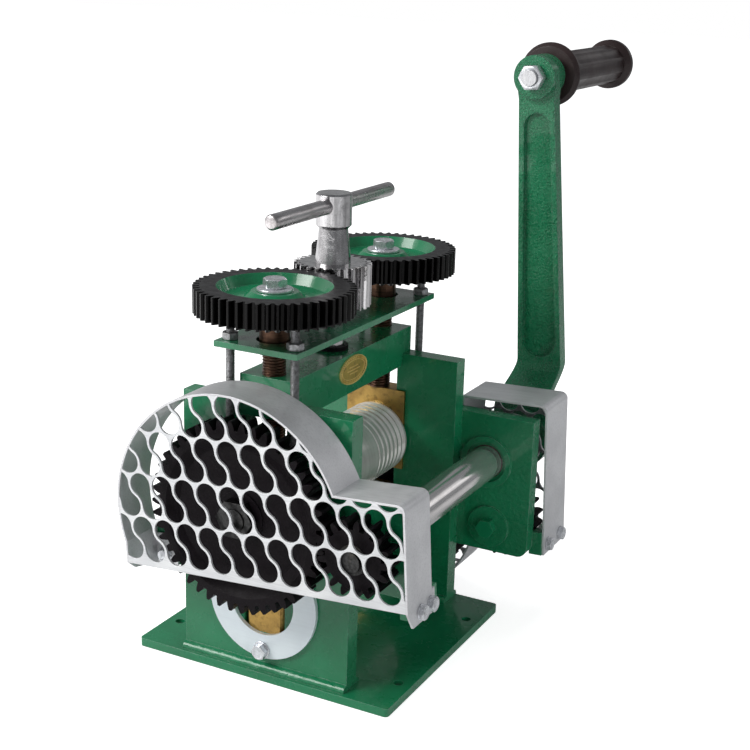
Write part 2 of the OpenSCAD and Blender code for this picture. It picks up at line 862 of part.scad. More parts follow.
module front_guard_outline(inset) {
    leg_z = -sqrt(pow(dome_r, 2) - pow(guard_left, 2));
    right = front_guard_right - inset;
    top = guard_shelf - inset;
    intersection() {
        circle(r = dome_r - inset, $fn = 128);
        box2(-dome_r, dome_r, leg_z - corner_r, dome_r);
    }
    box2(-guard_left + inset, right, -guard_foot, 0);
    box2(0, right - corner_r, -over, top);
    box2(0, right, -over, top - corner_r);
    translate([right - corner_r, top - corner_r]) circle(r = corner_r, $fn = 32);
}

module front_guard_face() {
    color("lightgray") at_side(-1) front_guard_place() along_y(guard_front, guard_face_y) difference() {
        front_guard_outline(sheet_t);
        intersection() {
            slots(-guard_left, front_guard_right - slot_margin, -guard_foot, dome_r);
            box2(-2 * dome_r, 2 * dome_r, -guard_foot + guard_strip, 2 * dome_r);
        }
    }
}

module front_guard_band() {
    color("lightgray") at_side(-1) front_guard_place() {
        along_y(guard_back, guard_face_y) difference() {
            front_guard_outline(0);
            front_guard_outline(sheet_t);
            box2(-guard_left + sheet_t, front_guard_right - sheet_t, -guard_foot - over, 0);
        }
        translate([front_guard_right - sheet_t, 0, 0]) rotate([90, 0, 90]) linear_extrude(sheet_t) polygon([
            [guard_face_y, -guard_foot], [guard_face_y - tab_chamfer, -guard_foot - tab_drop],
            [guard_back - tab_step, -guard_foot - tab_drop], [guard_back - tab_step, -guard_foot + tab_step],
            [guard_back, -guard_foot + tab_step], [guard_back, -guard_foot]]);
        translate([-guard_left, 0, 0]) rotate([90, 0, 90]) linear_extrude(sheet_t) polygon([
            [guard_face_y, -guard_foot],
            [guard_face_y - tab_chamfer, -guard_foot - tab_drop * left_tab_share],
            [guard_back, -guard_foot - tab_drop], [guard_back, -guard_foot]]);
        along_y(guard_back, guard_back + sheet_t)
            box2(-guard_left, -guard_left + left_tab_w,
                -guard_foot - tab_drop, -guard_foot - tab_drop + left_tab_h);
    }
}

module guard_arm() {
    color("seagreen") at_side(-1) along_y(plate_out, plate_out + guard_arm_t)
        box2(-guard_arm_left, -guard_arm_right, guard_arm_low, guard_arm_high);
}

module rear_guard_outline(inset) {
    polygon([[-rear_left + inset, rear_top - inset], [-rear_waist + inset, 0],
        [-rear_waist + inset, -rear_foot], [0, -rear_foot], [0, rear_top - inset]]);
    box2(-over, rear_right - inset - corner_r, -rear_foot, rear_top - inset);
    box2(-over, rear_right - inset, -rear_foot, rear_top - inset - corner_r);
    translate([rear_right - inset - corner_r, rear_top - inset - corner_r]) circle(r = corner_r, $fn = 32);
    rotate(-rear_guard_tilt) translate([-shaft_x, lower_z - shaft_z]) intersection() {
        circle(r = rear_dome_r - inset, $fn = 128);
        box2(-rear_dome_r, rear_dome_r, rear_cut_z - lower_z, rear_dome_r);
    }
}

module rear_guard_face() {
    color("lightgray") at_side(1) rear_guard_place() along_y(rear_far - sheet_t, rear_far) difference() {
        rear_guard_outline(sheet_t);
        difference() {
            slots(-shaft_x - rear_dome_r, rear_right - rear_slot_margin, -rear_dome_r - rear_foot, rear_top);
            circle(r = rear_ring_r, $fn = 48);
        }
        circle(r = rear_hole_r, $fn = 64);
    }
}

module rear_guard_band() {
    color("lightgray") at_side(1) rear_guard_place() along_y(rear_near, rear_far) difference() {
        rear_guard_outline(0);
        rear_guard_outline(sheet_t);
        box2(-rear_waist + sheet_t, rear_right - sheet_t, -rear_foot - idler_room, -rear_foot + sheet_t);
    }
}

module guard_bolt(y, z) {
    translate([0, y, z]) rotate([0, 90, 0]) {
        cylinder(r = guard_bolt_af / 2 + bolt_rim, h = bolt_rim, $fn = 32);
        linear_extrude(guard_bolt_h) hexagon(guard_bolt_af);
    }
}

module guard_bolts() {
    color("silver") {
        at_side(1) rear_guard_place() translate([rear_right, 0, 0]) {
            guard_bolt(rear_near + rear_bolts_in, -rear_foot + rear_bolts_rise);
            guard_bolt(rear_far - rear_bolts_out, -rear_foot + rear_bolts_rise);
        }
        at_side(-1) front_guard_place() translate([front_guard_right, 0, 0]) {
            guard_bolt(guard_back + front_bolts_out, -guard_foot - front_bolts_drop);
            guard_bolt(guard_back + front_bolts_in, -guard_foot - front_bolts_drop);
        }
        at_side(-1) front_guard_place()
            translate([-guard_left + left_tab_w * left_bolt_share, guard_back + sheet_t, 0])
            rotate([0, 0, 90]) guard_bolt(0, -guard_foot - front_bolts_drop);
    }
}

// Screw down
module column_ring() {
    color("black") translate([0, mid_y, beam_top]) difference() {
        cylinder(r = ring_r, h = ring_h, $fn = 64);
        translate([0, 0, -over]) cylinder(r = column_r + run_gap, h = ring_h + 2 * over, $fn = 64);
    }
}

module pressure_screw(side) {
    color("saddlebrown") translate([0, mid_y + side * screw_y, 0]) difference() {
        rotate_extrude($fn = 96) polygon([[0, screw_foot_z], [screw_r, screw_foot_z],
            [screw_r, collar_top - lift_collar_h], [lift_collar_r, collar_top - lift_collar_h],
            [lift_collar_r, collar_top], [gear_collar_r, collar_top],
            [gear_collar_r, side_gear_z], [spigot_r, side_gear_z],
            [spigot_r, side_hub_top - slide_gap], [0, side_hub_top - slide_gap]]);
        translate([0, 0, side_hub_top - bolt_shank_len - over])
            cylinder(r = bolt_shank_r + run_gap, h = bolt_shank_len + 2 * over, $fn = 32);
    }
}
module front_pressure_screw() { pressure_screw(-1); }
module rear_pressure_screw() { pressure_screw(1); }

module side_gear(side) {
    phase = mate_phase(side * 90, adjust_phase, adjust_teeth, side_teeth);
    color("darkslategray") translate([0, mid_y + side * screw_y, side_gear_z]) difference() {
        linear_extrude(side_gear_t) polygon(gear_points(side_teeth, adjust_module, tooth_play, phase));
        rotate_extrude($fn = 96) polygon([[spigot_r + run_gap, side_gear_t + over],
            [spigot_r + run_gap, side_hub_top - side_gear_z], [hub_top_r, side_hub_top - side_gear_z],
            [hub_low_r, side_gear_t - side_dish], [dish_low_r, side_gear_t - side_dish],
            [dish_top_r, side_gear_t], [dish_top_r, side_gear_t + over]]);
        translate([0, 0, -over]) cylinder(r = spigot_r + run_gap, h = side_gear_t + 2 * over, $fn = 64);
    }
}
module front_side_gear() { side_gear(-1); }
module rear_side_gear() { side_gear(1); }

module gear_bolt(side) {
    color("silver") translate([0, mid_y + side * screw_y, side_hub_top]) {
        cylinder(r = washer_r, h = washer_t, $fn = 64);
        translate([0, 0, washer_t]) linear_extrude(bolt_head_h) hexagon(bolt_af);
        translate([0, 0, -bolt_shank_len]) cylinder(r = bolt_shank_r, h = bolt_shank_len + over, $fn = 32);
    }
}
module front_gear_bolt() { gear_bolt(-1); }
module rear_gear_bolt() { gear_bolt(1); }

module adjusting_pinion() {
    color("gainsboro") translate([0, mid_y, 0]) difference() {
        union() {
            translate([0, 0, column_foot_z])
                cylinder(r = column_r, h = adjust_z - column_foot_z + over, $fn = 64);
            translate([0, 0, adjust_z]) linear_extrude(pinion_len)
                polygon(gear_points(adjust_teeth, adjust_module, tooth_play, adjust_phase));
            rotate_extrude($fn = 96) polygon([[0, adjust_z + pinion_len],
                [hub_cone_low_r, adjust_z + pinion_len], [hub_cone_top_r, tee_hub_z - hub_neck],
                [tee_hub_r, tee_hub_z], [tee_hub_r, tee_hub_z + tee_hub_h - hub_edge],
                [tee_hub_r - hub_edge, tee_hub_z + tee_hub_h], [0, tee_hub_z + tee_hub_h]]);
        }
        translate([0, 0, tee_z]) rod(tee_d / 2 + run_gap, -tee_hub_r - over, tee_hub_r + over);
    }
}

module tee_rod() {
    color("silver") translate([0, mid_y, tee_z]) rod(tee_d / 2, -tee_len / 2, tee_len / 2);
}

// Countershaft and crank
module countershaft() {
    color("silver") translate([shaft_x, mid_y, shaft_z]) turned([
        [0, -shaft_stub_end], [shaft_stub_r, -shaft_stub_end], [shaft_stub_r, -gear_end - stub_step],
        [gear_seat_r, -gear_end - stub_step], [gear_seat_r, -shaft_shoulder], [shaft_r, -shaft_shoulder],
        [shaft_r, shaft_shoulder], [gear_seat_r, shaft_shoulder],
        [gear_seat_r, hub_in + hub_len], [0, hub_in + hub_len]]);
}

module shaft_pinion(phase) {
    translate([shaft_x, 0, shaft_z]) difference() {
        union() {
            along_y(gear_y, gear_end) drive_teeth(pinion_teeth, phase);
            rod(pinion_hub_r, shaft_shoulder, gear_y);
        }
        rod(gear_seat_r + run_gap, shaft_shoulder - over, gear_end + over);
    }
}
module front_pinion() { color("dimgray") at_side(-1) shaft_pinion(front_pinion_phase); }
module rear_pinion() { color("dimgray") at_side(1) shaft_pinion(rear_pinion_phase); }

// Children placed in the crank's own frame, with the shaft at its origin
module crank_place() {
    translate([shaft_x, mid_y, shaft_z]) rotate([0, -crank_tilt, 0]) children();
}

// Smooth step of the bend between the hub and the arm
function bend_y(share) = bend_in + (arm_in - bend_in) * (1 - cos(180 * share)) / 2;
function bend_points() = [for (step = [0:12])
    [bend_y(step / 12), bend_low + (bend_high - bend_low) * step / 12]];

module arm_side_view() {
    near = concat([[bend_in, -hub_d / 2]], bend_points(), [[arm_in, crank_len + boss_r]]);
    far = [for (index = [len(near) - 1:-1:0]) near[index] + [arm_t, 0]];
    polygon(concat(near, far));
}

module arm_front_view() {
    difference() {
        union() {
            polygon([[-hub_d / 2, 0], [-arm_low_w / 2, bend_high], [-arm_top_w / 2, crank_len - boss_r],
                [-boss_r, crank_len], [boss_r, crank_len], [arm_top_w / 2, crank_len - boss_r],
                [arm_low_w / 2, bend_high], [hub_d / 2, 0]]);
            circle(r = hub_d / 2, $fn = 64);
            translate([0, crank_len]) circle(r = boss_r, $fn = 64);
        }
        translate([0, crank_len]) circle(r = handle_r + run_gap, $fn = 48);
        circle(r = gear_seat_r + run_gap, $fn = 64);
    }
}

module recess_outline() {
    low = recess_low + recess_low_w / 2;
    high = recess_high - recess_high_w / 2;
    polygon([[-recess_low_w / 2, low], [-recess_high_w / 2, high],
        [recess_high_w / 2, high], [recess_low_w / 2, low]]);
    translate([0, low]) circle(r = recess_low_w / 2, $fn = 48);
    translate([0, high]) circle(r = recess_high_w / 2, $fn = 48);
}

module crank_arm() {
    color("seagreen") crank_place() difference() {
        union() {
            intersection() {
                along_y(hub_in, arm_in + arm_t) arm_front_view();
                translate([-hub_d, 0, 0]) rotate([90, 0, 90]) linear_extrude(2 * hub_d) arm_side_view();
            }
            rod(hub_d / 2, hub_in, hub_in + hub_len);
            translate([0, 0, crank_len]) rod(boss_r, boss_in, boss_out);
        }
        rod(gear_seat_r + run_gap, hub_in - over, hub_in + hub_len + over);
        translate([0, 0, crank_len]) rod(handle_r + run_gap, boss_in - over, boss_out + over);
        along_y(arm_in - over, arm_in + recess_depth) recess_outline();
        along_y(arm_in + arm_t - recess_depth, arm_in + arm_t + over) recess_outline();
    }
}

module grip_spindle() {
    color("silver") crank_place() translate([0, 0, crank_len]) {
        rod(handle_r, boss_in - crank_nut_h - stud_nose, boss_out);
        rod(handle_r + spindle_rim, boss_out, grip_in - rest_gap);
        rod(handle_r, boss_out, grip_in + grip_len - grip_end_t);
    }
}

module crank_nut() {
    color("silver") crank_place() translate([0, 0, crank_len]) difference() {
        along_y(boss_in - crank_nut_h, boss_in) hexagon(crank_nut_af);
        rod(handle_r, boss_in - crank_nut_h - over, boss_in + over);
    }
}

module handle_grip() {
    body_r = grip_d / 2;
    color("black") crank_place() translate([0, 0, crank_len]) difference() {
        union() {
            turned([[0, grip_in], [grip_flange_r - grip_round, grip_in],
                [grip_flange_r, grip_in + grip_round], [grip_flange_r, grip_in + grip_rim],
                [body_r + grip_foot, grip_in + grip_flange_t],
                [0, grip_in + grip_flange_t]]);
            along_y(grip_in + grip_flange_t, grip_in + grip_len - grip_end_t) difference() {
                circle(r = body_r, $fn = 96);
                for (rib = [0:grip_ribs - 1]) {
                    rotate(rib * 360 / grip_ribs) translate([body_r * (1 + flute_share), 0])
                        circle(r = body_r * flute_share + grip_flute, $fn = 48);
                }
            }
            turned([[0, grip_in + grip_len - grip_end_t], [body_r, grip_in + grip_len - grip_end_t],
                [grip_end_r, grip_in + grip_len - grip_end_t + grip_swell],
                [grip_end_r, grip_in + grip_len - grip_round], [grip_end_r - grip_round, grip_in + grip_len],
                [0, grip_in + grip_len]]);
        }
        rod(handle_r + run_gap, grip_in - over, grip_in + grip_len - grip_end_t + rest_gap);
    }
}

base_plate();
front_frame_plate();
rear_frame_plate();
top_beam();
badge();
lower_bearing_front();
lower_bearing_rear();
ring_cover();
ring_bolt();
front_bracket();
rear_bracket();
front_bush();
rear_bush();
idler_bolt();
front_guard_face();
front_guard_band();
rear_guard_face();
rear_guard_band();
guard_arm();
guard_bolts();
column_ring();
lower_roll();
lower_roll_spacer();
lower_roll_gear();
lower_gear_nut();
upper_bearing_front();
upper_bearing_rear();
front_stud_yoke();
rear_stud_yoke();
studs();
stud_nuts();
top_plate();
upper_roll_spacer();
upper_roll();
upper_roll_gear();
upper_gear_nut();
front_pressure_screw();
front_side_gear();
front_gear_bolt();
rear_pressure_screw();
rear_side_gear();
rear_gear_bolt();
adjusting_pinion();
tee_rod();
countershaft();
front_pinion();
rear_pinion();
crank_arm();
crank_nut();
grip_spindle();
handle_grip();
idler_gear();
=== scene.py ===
import json
import math

import bmesh
import bpy
from mathutils import Matrix, Vector


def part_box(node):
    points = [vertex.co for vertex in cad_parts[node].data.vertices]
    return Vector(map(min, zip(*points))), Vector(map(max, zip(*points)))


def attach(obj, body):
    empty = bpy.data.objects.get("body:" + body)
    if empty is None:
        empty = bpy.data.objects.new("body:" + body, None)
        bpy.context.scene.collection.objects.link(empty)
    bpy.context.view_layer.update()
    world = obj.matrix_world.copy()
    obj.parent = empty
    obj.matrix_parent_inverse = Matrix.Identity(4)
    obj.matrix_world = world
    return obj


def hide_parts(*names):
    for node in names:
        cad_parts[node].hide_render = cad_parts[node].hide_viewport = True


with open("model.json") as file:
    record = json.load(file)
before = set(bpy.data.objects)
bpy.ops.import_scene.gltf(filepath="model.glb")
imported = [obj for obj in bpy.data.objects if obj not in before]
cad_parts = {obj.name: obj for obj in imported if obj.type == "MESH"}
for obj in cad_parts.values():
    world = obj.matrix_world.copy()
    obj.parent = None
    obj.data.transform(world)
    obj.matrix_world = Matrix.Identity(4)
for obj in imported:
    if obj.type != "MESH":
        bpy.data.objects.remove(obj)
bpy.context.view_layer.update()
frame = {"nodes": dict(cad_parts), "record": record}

MM = 0.001


def new_object(name, data):
    thing = bpy.data.objects.new(name, data)
    bpy.context.scene.collection.objects.link(thing)
    return thing


# Camera at the photograph's viewing angle, fitted to straight edges and circles of the mill
AZIMUTH = math.radians(27.237)
ELEVATION = math.radians(16.758)
ROLL = math.radians(1.704)
DISTANCE = 0.98692
TARGET = Vector((0.03619, 0.0, 0.20188))
LENS = 68.55


def make_camera():
    back = Vector((
        math.sin(AZIMUTH) * math.cos(ELEVATION),
        -math.cos(AZIMUTH) * math.cos(ELEVATION),
        math.sin(ELEVATION),
    ))
    level = Vector((math.cos(AZIMUTH), math.sin(AZIMUTH), 0.0))
    upright = back.cross(level)
    right = level * math.cos(ROLL) + upright * math.sin(ROLL)
    up = upright * math.cos(ROLL) - level * math.sin(ROLL)
    data = bpy.data.cameras.new("camera")
    data.lens = LENS
    data.clip_start = 0.01
    data.clip_end = 50.0
    camera = new_object("camera", data)
    turn = Matrix((right, up, back)).transposed().to_4x4()
    camera.matrix_world = Matrix.Translation(TARGET + back * DISTANCE) @ turn
    bpy.context.scene.camera = camera


make_camera()


# Node helpers
class Nodes:
    """Short calls that add nodes to the tree of a material or a world."""

    def __init__(self, owner):
        owner.use_nodes = True
        self.nodes = owner.node_tree.nodes
        self.links = owner.node_tree.links

    def feed(self, socket, value):
        """Links an input to an output socket, or sets it to a constant."""
        if isinstance(value, bpy.types.NodeSocket):
            self.links.new(value, socket)
        else:
            socket.default_value = value

    def add(self, kind, inputs):
        """A new node, with its inputs fed by name or number."""
        node = self.nodes.new(kind)
        for key, value in inputs.items():
            self.feed(node.inputs[key], value)
        return node

    def math(self, operation, first, second=0.0):
        node = self.add("ShaderNodeMath", {0: first, 1: second})
        node.operation = operation
        return node.outputs[0]

    def product(self, *factors):
        result = factors[0]
        for factor in factors[1:]:
            result = self.math("MULTIPLY", result, factor)
        return result

    def ramp(self, value, low, high, out_low=0.0, out_high=1.0):
        """A smooth step of a value from one output to another, flat outside its range."""
        node = self.add("ShaderNodeMapRange", {
            "Value": value, "From Min": low, "From Max": high,
            "To Min": out_low, "To Max": out_high,
        })
        node.interpolation_type = "SMOOTHSTEP"
        return node.outputs["Result"]

    def xyz(self, vector):
        return self.add("ShaderNodeSeparateXYZ", {0: vector}).outputs


class Shader(Nodes):
    """A principled material whose textures are placed in object space, so in metres."""

    def __init__(self, name):
        self.mat = bpy.data.materials.new(name)
        super().__init__(self.mat)
        self.bsdf = self.nodes["Principled BSDF"]
        self.place = self.add("ShaderNodeTexCoord", {}).outputs["Object"]

    def set(self, **values):
        for name, value in values.items():
            self.feed(self.bsdf.inputs[name.replace("_", " ")], value)

    def noise(self, scale, detail=3.0, rough=0.55, place=None):
        node = self.add("ShaderNodeTexNoise", {
            "Vector": place or self.place, "Scale": scale, "Detail": detail, "Roughness": rough,
        })
        return node.outputs["Fac"]

    def cloud(self, scale, detail, low, high, out_low=0.0, out_high=1.0, rough=0.55):
        """Soft patches: noise of a scale and detail, whose range low to high is ramped."""
        return self.ramp(self.noise(scale, detail, rough), low, high, out_low, out_high)

    def roughness(self, scale, detail, low, high):
        self.set(Roughness=self.cloud(scale, detail, 0.3, 0.7, low, high))

    def cells(self, scale, feature="F1"):
        node = self.add("ShaderNodeTexVoronoi", {"Vector": self.place, "Scale": scale})
        node.feature = feature
        return node.outputs["Distance"]

    def specks(self, scale, size):
        """1 at the middle of each cell, falling to 0 at a share of the cell's width."""
        return self.ramp(self.cells(scale), 0.0, size, 1.0, 0.0)

    def stretched(self, scale):
        node = self.add("ShaderNodeMapping", {"Vector": self.place, "Scale": scale})
        return node.outputs["Vector"]

    def mix(self, share, first, second):
        """A blend of two colours, each a socket or three numbers."""
        node = self.nodes.new("ShaderNodeMix")
        node.data_type = "RGBA"
        colour_a, colour_b, colour_out = 6, 7, 2
        for key, value in (("Factor", share), (colour_a, first), (colour_b, second)):
            self.feed(node.inputs[key], (*value, 1.0) if isinstance(value, tuple) else value)
        return node.outputs[colour_out]

    def over(self, colour, top, mask, share):
        """Lays a second colour over the first by a mask, up to a share."""
        return self.mix(self.math("MULTIPLY", mask, share), colour, top)

    def soft_edge(self, radius):
        """The normal with the edges rounded off."""
        bevel = self.add("ShaderNodeBevel", {"Radius": radius})
        bevel.samples = 4
        return bevel.outputs["Normal"]

    def edges(self, radius):
        """1 on sharp edges, falling to 0 on flat faces."""
        plain = self.add("ShaderNodeNewGeometry", {}).outputs["Normal"]
        dot = self.add("ShaderNodeVectorMath", {0: self.soft_edge(radius), 1: plain})
        dot.operation = "DOT_PRODUCT"
        return self.ramp(dot.outputs["Value"], 0.80, 0.995, 1.0, 0.0)

    def bump(self, height, depth, normal):
        node = self.add("ShaderNodeBump", {
            "Strength": 1.0, "Distance": depth, "Height": height, "Normal": normal,
        })
        return node.outputs["Normal"]


# Materials. Colours are linear, depths and edge radii in metres, noise scales per metre
GREEN = (0.009, 0.215, 0.090)
GREEN_DARK = (0.007, 0.165, 0.066)
# Pale green: a painted highlight on edges, and dust specks
GREEN_HIGHLIGHT_AND_DUST = (0.09, 0.38, 0.24)
WORN_PAINT = (0.30, 0.36, 0.33)
ROLLED_GREY = (0.36, 0.36, 0.38)
STAIN = (0.20, 0.17, 0.14)
PIT = (0.11, 0.09, 0.08)
IRON_GLINT = (0.35, 0.34, 0.34)
IRON_EDGE_HIGHLIGHT = (0.22, 0.21, 0.22)
TARNISH = (0.10, 0.06, 0.03)
SCUFF = (0.16, 0.14, 0.14)
METAL_EDGE = 0.0004


def paint(name, grain, cells=None, coat=0.5, round_edge=0.0007):
    """Glossy green paint over steel: orange peel, a painted highlight along the edges, paint rubbed
    off some edges and a few dust specks.

    grain and cells are the scale and the depth of two layers of bumps.
    """
    s = Shader(name)
    colour = s.mix(s.cloud(18.0, 4.0, 0.35, 0.7), GREEN, GREEN_DARK)
    edge = s.edges(0.0009)
    rubbed = s.math("MULTIPLY", edge, s.cloud(160.0, 4.0, 0.42, 0.62))
    # Edges lightened to pale green: a painted highlight
    colour = s.over(colour, GREEN_HIGHLIGHT_AND_DUST, edge, 0.35)
    colour = s.over(colour, WORN_PAINT, rubbed, 0.45)
    colour = s.over(colour, GREEN_HIGHLIGHT_AND_DUST, s.specks(420.0, 0.16), 0.12)
    grain_scale, grain_depth = grain
    normal = s.bump(s.noise(grain_scale, 5.0, 0.6), grain_depth, s.soft_edge(round_edge))
    if cells:
        cell_scale, cell_depth = cells
        normal = s.bump(s.cells(cell_scale, "SMOOTH_F1"), cell_depth, normal)
    s.set(Base_Color=colour, Normal=normal, Specular_IOR_Level=0.35)
    s.set(Coat_Weight=coat, Coat_Roughness=0.04)
    s.roughness(60.0, 4.0, 0.20, 0.34)
    return s.mat


def zinc(name, light, dark, metallic=0.45, lines=0.25):
    """Galvanised sheet with a faint rolled grain and soft spangle."""
    s = Shader(name)
    grain = s.noise(900.0, 3.0, 0.6, s.stretched((0.03, 1.0, 1.0)))
    colour = s.mix(s.cloud(35.0, 4.0, 0.3, 0.7), dark, light)
    colour = s.over(colour, ROLLED_GREY, s.ramp(grain, 0.45, 0.7), lines)
    normal = s.bump(grain, 0.00016 * lines, s.soft_edge(METAL_EDGE))
    s.set(Base_Color=colour, Metallic=metallic, Normal=normal)
    s.roughness(140.0, 3.0, 0.38, 0.52)
    return s.mat


def steel(name, light, dark, rough, grain, stretch=(1.0, 1.0, 1.0), metallic=1.0, stains=0.45,
          dents=0.0):
    """Machined steel: turned or drawn lines, with small stains and handling marks."""
    s = Shader(name)
    lines = s.noise(grain, 4.0, 0.7, s.stretched(stretch))
    colour = s.mix(s.ramp(lines, 0.35, 0.65), light, dark)
    colour = s.over(colour, STAIN, s.cloud(45.0, 5.0, 0.52, 0.75, rough=0.65), stains)
    colour = s.over(colour, PIT, s.cloud(420.0, 4.0, 0.64, 0.74), stains)
    normal = s.bump(lines, 0.00003, s.soft_edge(METAL_EDGE))
    if dents:
        normal = s.bump(s.noise(230.0, 3.0, 0.6), dents, normal)
    s.set(Base_Color=colour, Metallic=metallic, Normal=normal)
    s.roughness(90.0, 4.0, *rough)
    return s.mat


def cast_black(name, tone, grain, depth, rough, glints, rim, level):
    """Black iron or phosphated steel with a sandy grain, painted glints as light specks, and a
    painted highlight that greys the edges.
    """
    s = Shader(name)
    sand = s.noise(grain, 5.0, 0.7)
    colour = s.mix(s.ramp(sand, 0.4, 0.7), tone, tuple(2.2 * c for c in tone))
    # Light specks: painted glints
    colour = s.over(colour, IRON_GLINT, s.specks(grain * 0.8, 0.12), glints)
    # Edges greyed by the share rim: a painted highlight
    colour = s.over(colour, IRON_EDGE_HIGHLIGHT, s.edges(0.0005), rim)
    normal = s.bump(sand, depth, s.soft_edge(METAL_EDGE))
    s.set(Base_Color=colour, Normal=normal, Specular_IOR_Level=level)
    s.roughness(200.0, 3.0, *rough)
    return s.mat


def brass(name, light, dark, tarnish, metallic=1.0):
    """Brass with cloudy tarnish."""
    s = Shader(name)
    cloud = s.noise(70.0, 5.0, 0.65)
    colour = s.mix(s.ramp(cloud, 0.35, 0.7), light, dark)
    colour = s.over(colour, TARNISH, s.cloud(260.0, 4.0, 0.5, 0.7), tarnish)
    normal = s.bump(s.noise(500.0, 4.0), 0.00005, s.soft_edge(METAL_EDGE))
    s.set(Base_Color=colour, Metallic=metallic, Normal=normal)
    s.set(Roughness=s.ramp(cloud, 0.3, 0.7, 0.28, 0.46))
    return s.mat


def plastic(name, light, dark):
    """Moulded plastic with a fine grain and scuffs along its length."""
    s = Shader(name)
    colour = s.mix(s.cloud(30.0, 3.0, 0.3, 0.7), dark, light)
    scuffs = s.ramp(s.noise(700.0, 3.0, 0.6, s.stretched((1.0, 0.08, 1.0))), 0.62, 0.75)
    colour = s.over(colour, SCUFF, scuffs, 0.18)
    normal = s.bump(s.noise(1400.0, 3.0), 0.00005, s.soft_edge(0.0006))
    s.set(Base_Color=colour, Normal=normal, Specular_IOR_Level=0.4)
    s.roughness(80.0, 3.0, 0.28, 0.40)
    return s.mat


def painted_bush(name):
    """Bronze at the bore, with the paint run over the rest of its face.

    Both bushes lie on the countershaft's axis, so one material serves them.
    """
    bronze_r, paint_r, ragged = 0.0132, 0.0136, 0.0006
    low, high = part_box("rear_bush")
    s = Shader(name)
    place = s.xyz(s.place)
    across = s.math("SUBTRACT", place["X"], (low.x + high.x) / 2)
    upward = s.math("SUBTRACT", place["Z"], (low.z + high.z) / 2)
    squares = s.math("ADD", s.product(across, across), s.product(upward, upward))
    reach = s.math("POWER", squares, 0.5)
    reach = s.math("ADD", reach, s.math("MULTIPLY", s.noise(240.0), ragged))
    bronze = s.mix(s.cloud(260.0, 4.0, 0.35, 0.65), (0.07, 0.035, 0.018), (0.025, 0.016, 0.011))
    normal = s.bump(s.noise(260.0, 5.0), 0.0001, s.soft_edge(0.0005))
    s.set(Base_Color=s.mix(s.ramp(reach, bronze_r, paint_r), bronze, GREEN), Normal=normal)
    s.set(Coat_Weight=0.4, Coat_Roughness=0.1)
    s.roughness(60.0, 4.0, 0.22, 0.36)
    return s.mat


GREEN_PLATE = paint("green_plate", grain=(260.0, 0.00004))
GREEN_ROUGH = paint("green_cast", grain=(760.0, 0.0016), cells=(640.0, 0.0012), coat=0.55,
                    round_edge=0.0032)
GREEN_BRUSHED = paint("green_brushed", grain=(330.0, 0.00055), coat=0.6)
GREEN_DISH = paint("green_dish", grain=(90.0, 0.00030))
GREEN_WELD = paint("green_weld", grain=(160.0, 0.0009), cells=(210.0, 0.0009))
ZINC = zinc("zinc", light=(0.76, 0.76, 0.78), dark=(0.64, 0.64, 0.66))
SHEET_FACE = zinc("sheet_face", light=(0.78, 0.79, 0.80), dark=(0.66, 0.67, 0.69))
RING_ZINC = zinc("ring_zinc", light=(0.82, 0.89, 0.93), dark=(0.74, 0.81, 0.86), metallic=0.30,
                 lines=0.05)
ROLL_STEEL = steel("roll_steel", light=(0.88, 0.87, 0.84), dark=(0.72, 0.71, 0.68),
                   rough=(0.12, 0.20), grain=700.0, stretch=(0.02, 1.0, 0.02), metallic=0.5,
                   stains=0.15)
SHAFT_STEEL = steel("shaft_steel", light=(0.84, 0.81, 0.81), dark=(0.74, 0.71, 0.71),
                    rough=(0.10, 0.16), grain=900.0, stretch=(1.0, 0.03, 1.0), metallic=0.85,
                    stains=0.12)
TEE_STEEL = steel("cross_rod_steel", light=(0.70, 0.67, 0.68), dark=(0.48, 0.45, 0.46),
                  rough=(0.22, 0.36), grain=700.0, stretch=(1.0, 0.05, 1.0), stains=0.30)
BRIGHT = steel("bright_zinc", light=(0.78, 0.78, 0.80), dark=(0.58, 0.58, 0.60),
               rough=(0.20, 0.34), grain=500.0, stretch=(1.0, 1.0, 0.2), metallic=0.75, stains=0.3)
BOLT_ZINC = steel("bolt_zinc", light=(0.82, 0.84, 0.88), dark=(0.60, 0.61, 0.64),
                  rough=(0.18, 0.32), grain=420.0, metallic=0.75, stains=0.3)
STUD_ZINC = steel("stud_zinc", light=(0.44, 0.44, 0.46), dark=(0.22, 0.22, 0.22),
                  rough=(0.34, 0.50), grain=420.0, metallic=0.8)
CHROME = steel("chrome", light=(0.62, 0.61, 0.62), dark=(0.40, 0.39, 0.40), rough=(0.10, 0.22),
               grain=300.0, stretch=(1.0, 1.0, 0.06), stains=0.30, dents=0.00022)
# Near-black steel for the upper gear's nut, and painted shade on the shaft ends inside the front
# guard
DARK_STEEL_AND_SHADE = steel("dark_steel_and_shade", light=(0.06, 0.06, 0.06), dark=(0.03, 0.03, 0.03),
                   rough=(0.35, 0.50), grain=500.0)
RUSTY = steel("greased_screw", light=(0.16, 0.09, 0.06), dark=(0.09, 0.05, 0.035),
              rough=(0.30, 0.45), grain=600.0, stretch=(0.05, 0.05, 1.0))
IRON = cast_black("black_iron", (0.0040, 0.0026, 0.0038), grain=900.0, depth=0.0003,
                  rough=(0.34, 0.50), glints=0.26, rim=0.08, level=0.10)
GEAR_BLACK = cast_black("gear_black", (0.0012, 0.0011, 0.0012), grain=1500.0, depth=0.00003,
                        rough=(0.14, 0.22), glints=0.01, rim=0.10, level=0.14)
GEAR_FACE = cast_black("gear_face", (0.009, 0.0085, 0.009), grain=1300.0, depth=0.00006,
                       rough=(0.34, 0.46), glints=0.06, rim=0.25, level=0.25)
BRASS = brass("bearing_brass", light=(0.52, 0.33, 0.10), dark=(0.34, 0.21, 0.07), tarnish=0.5)
BADGE_BRASS = brass("badge_brass", light=(0.98, 0.76, 0.28), dark=(0.80, 0.58, 0.19),
                    tarnish=0.15, metallic=0.45)
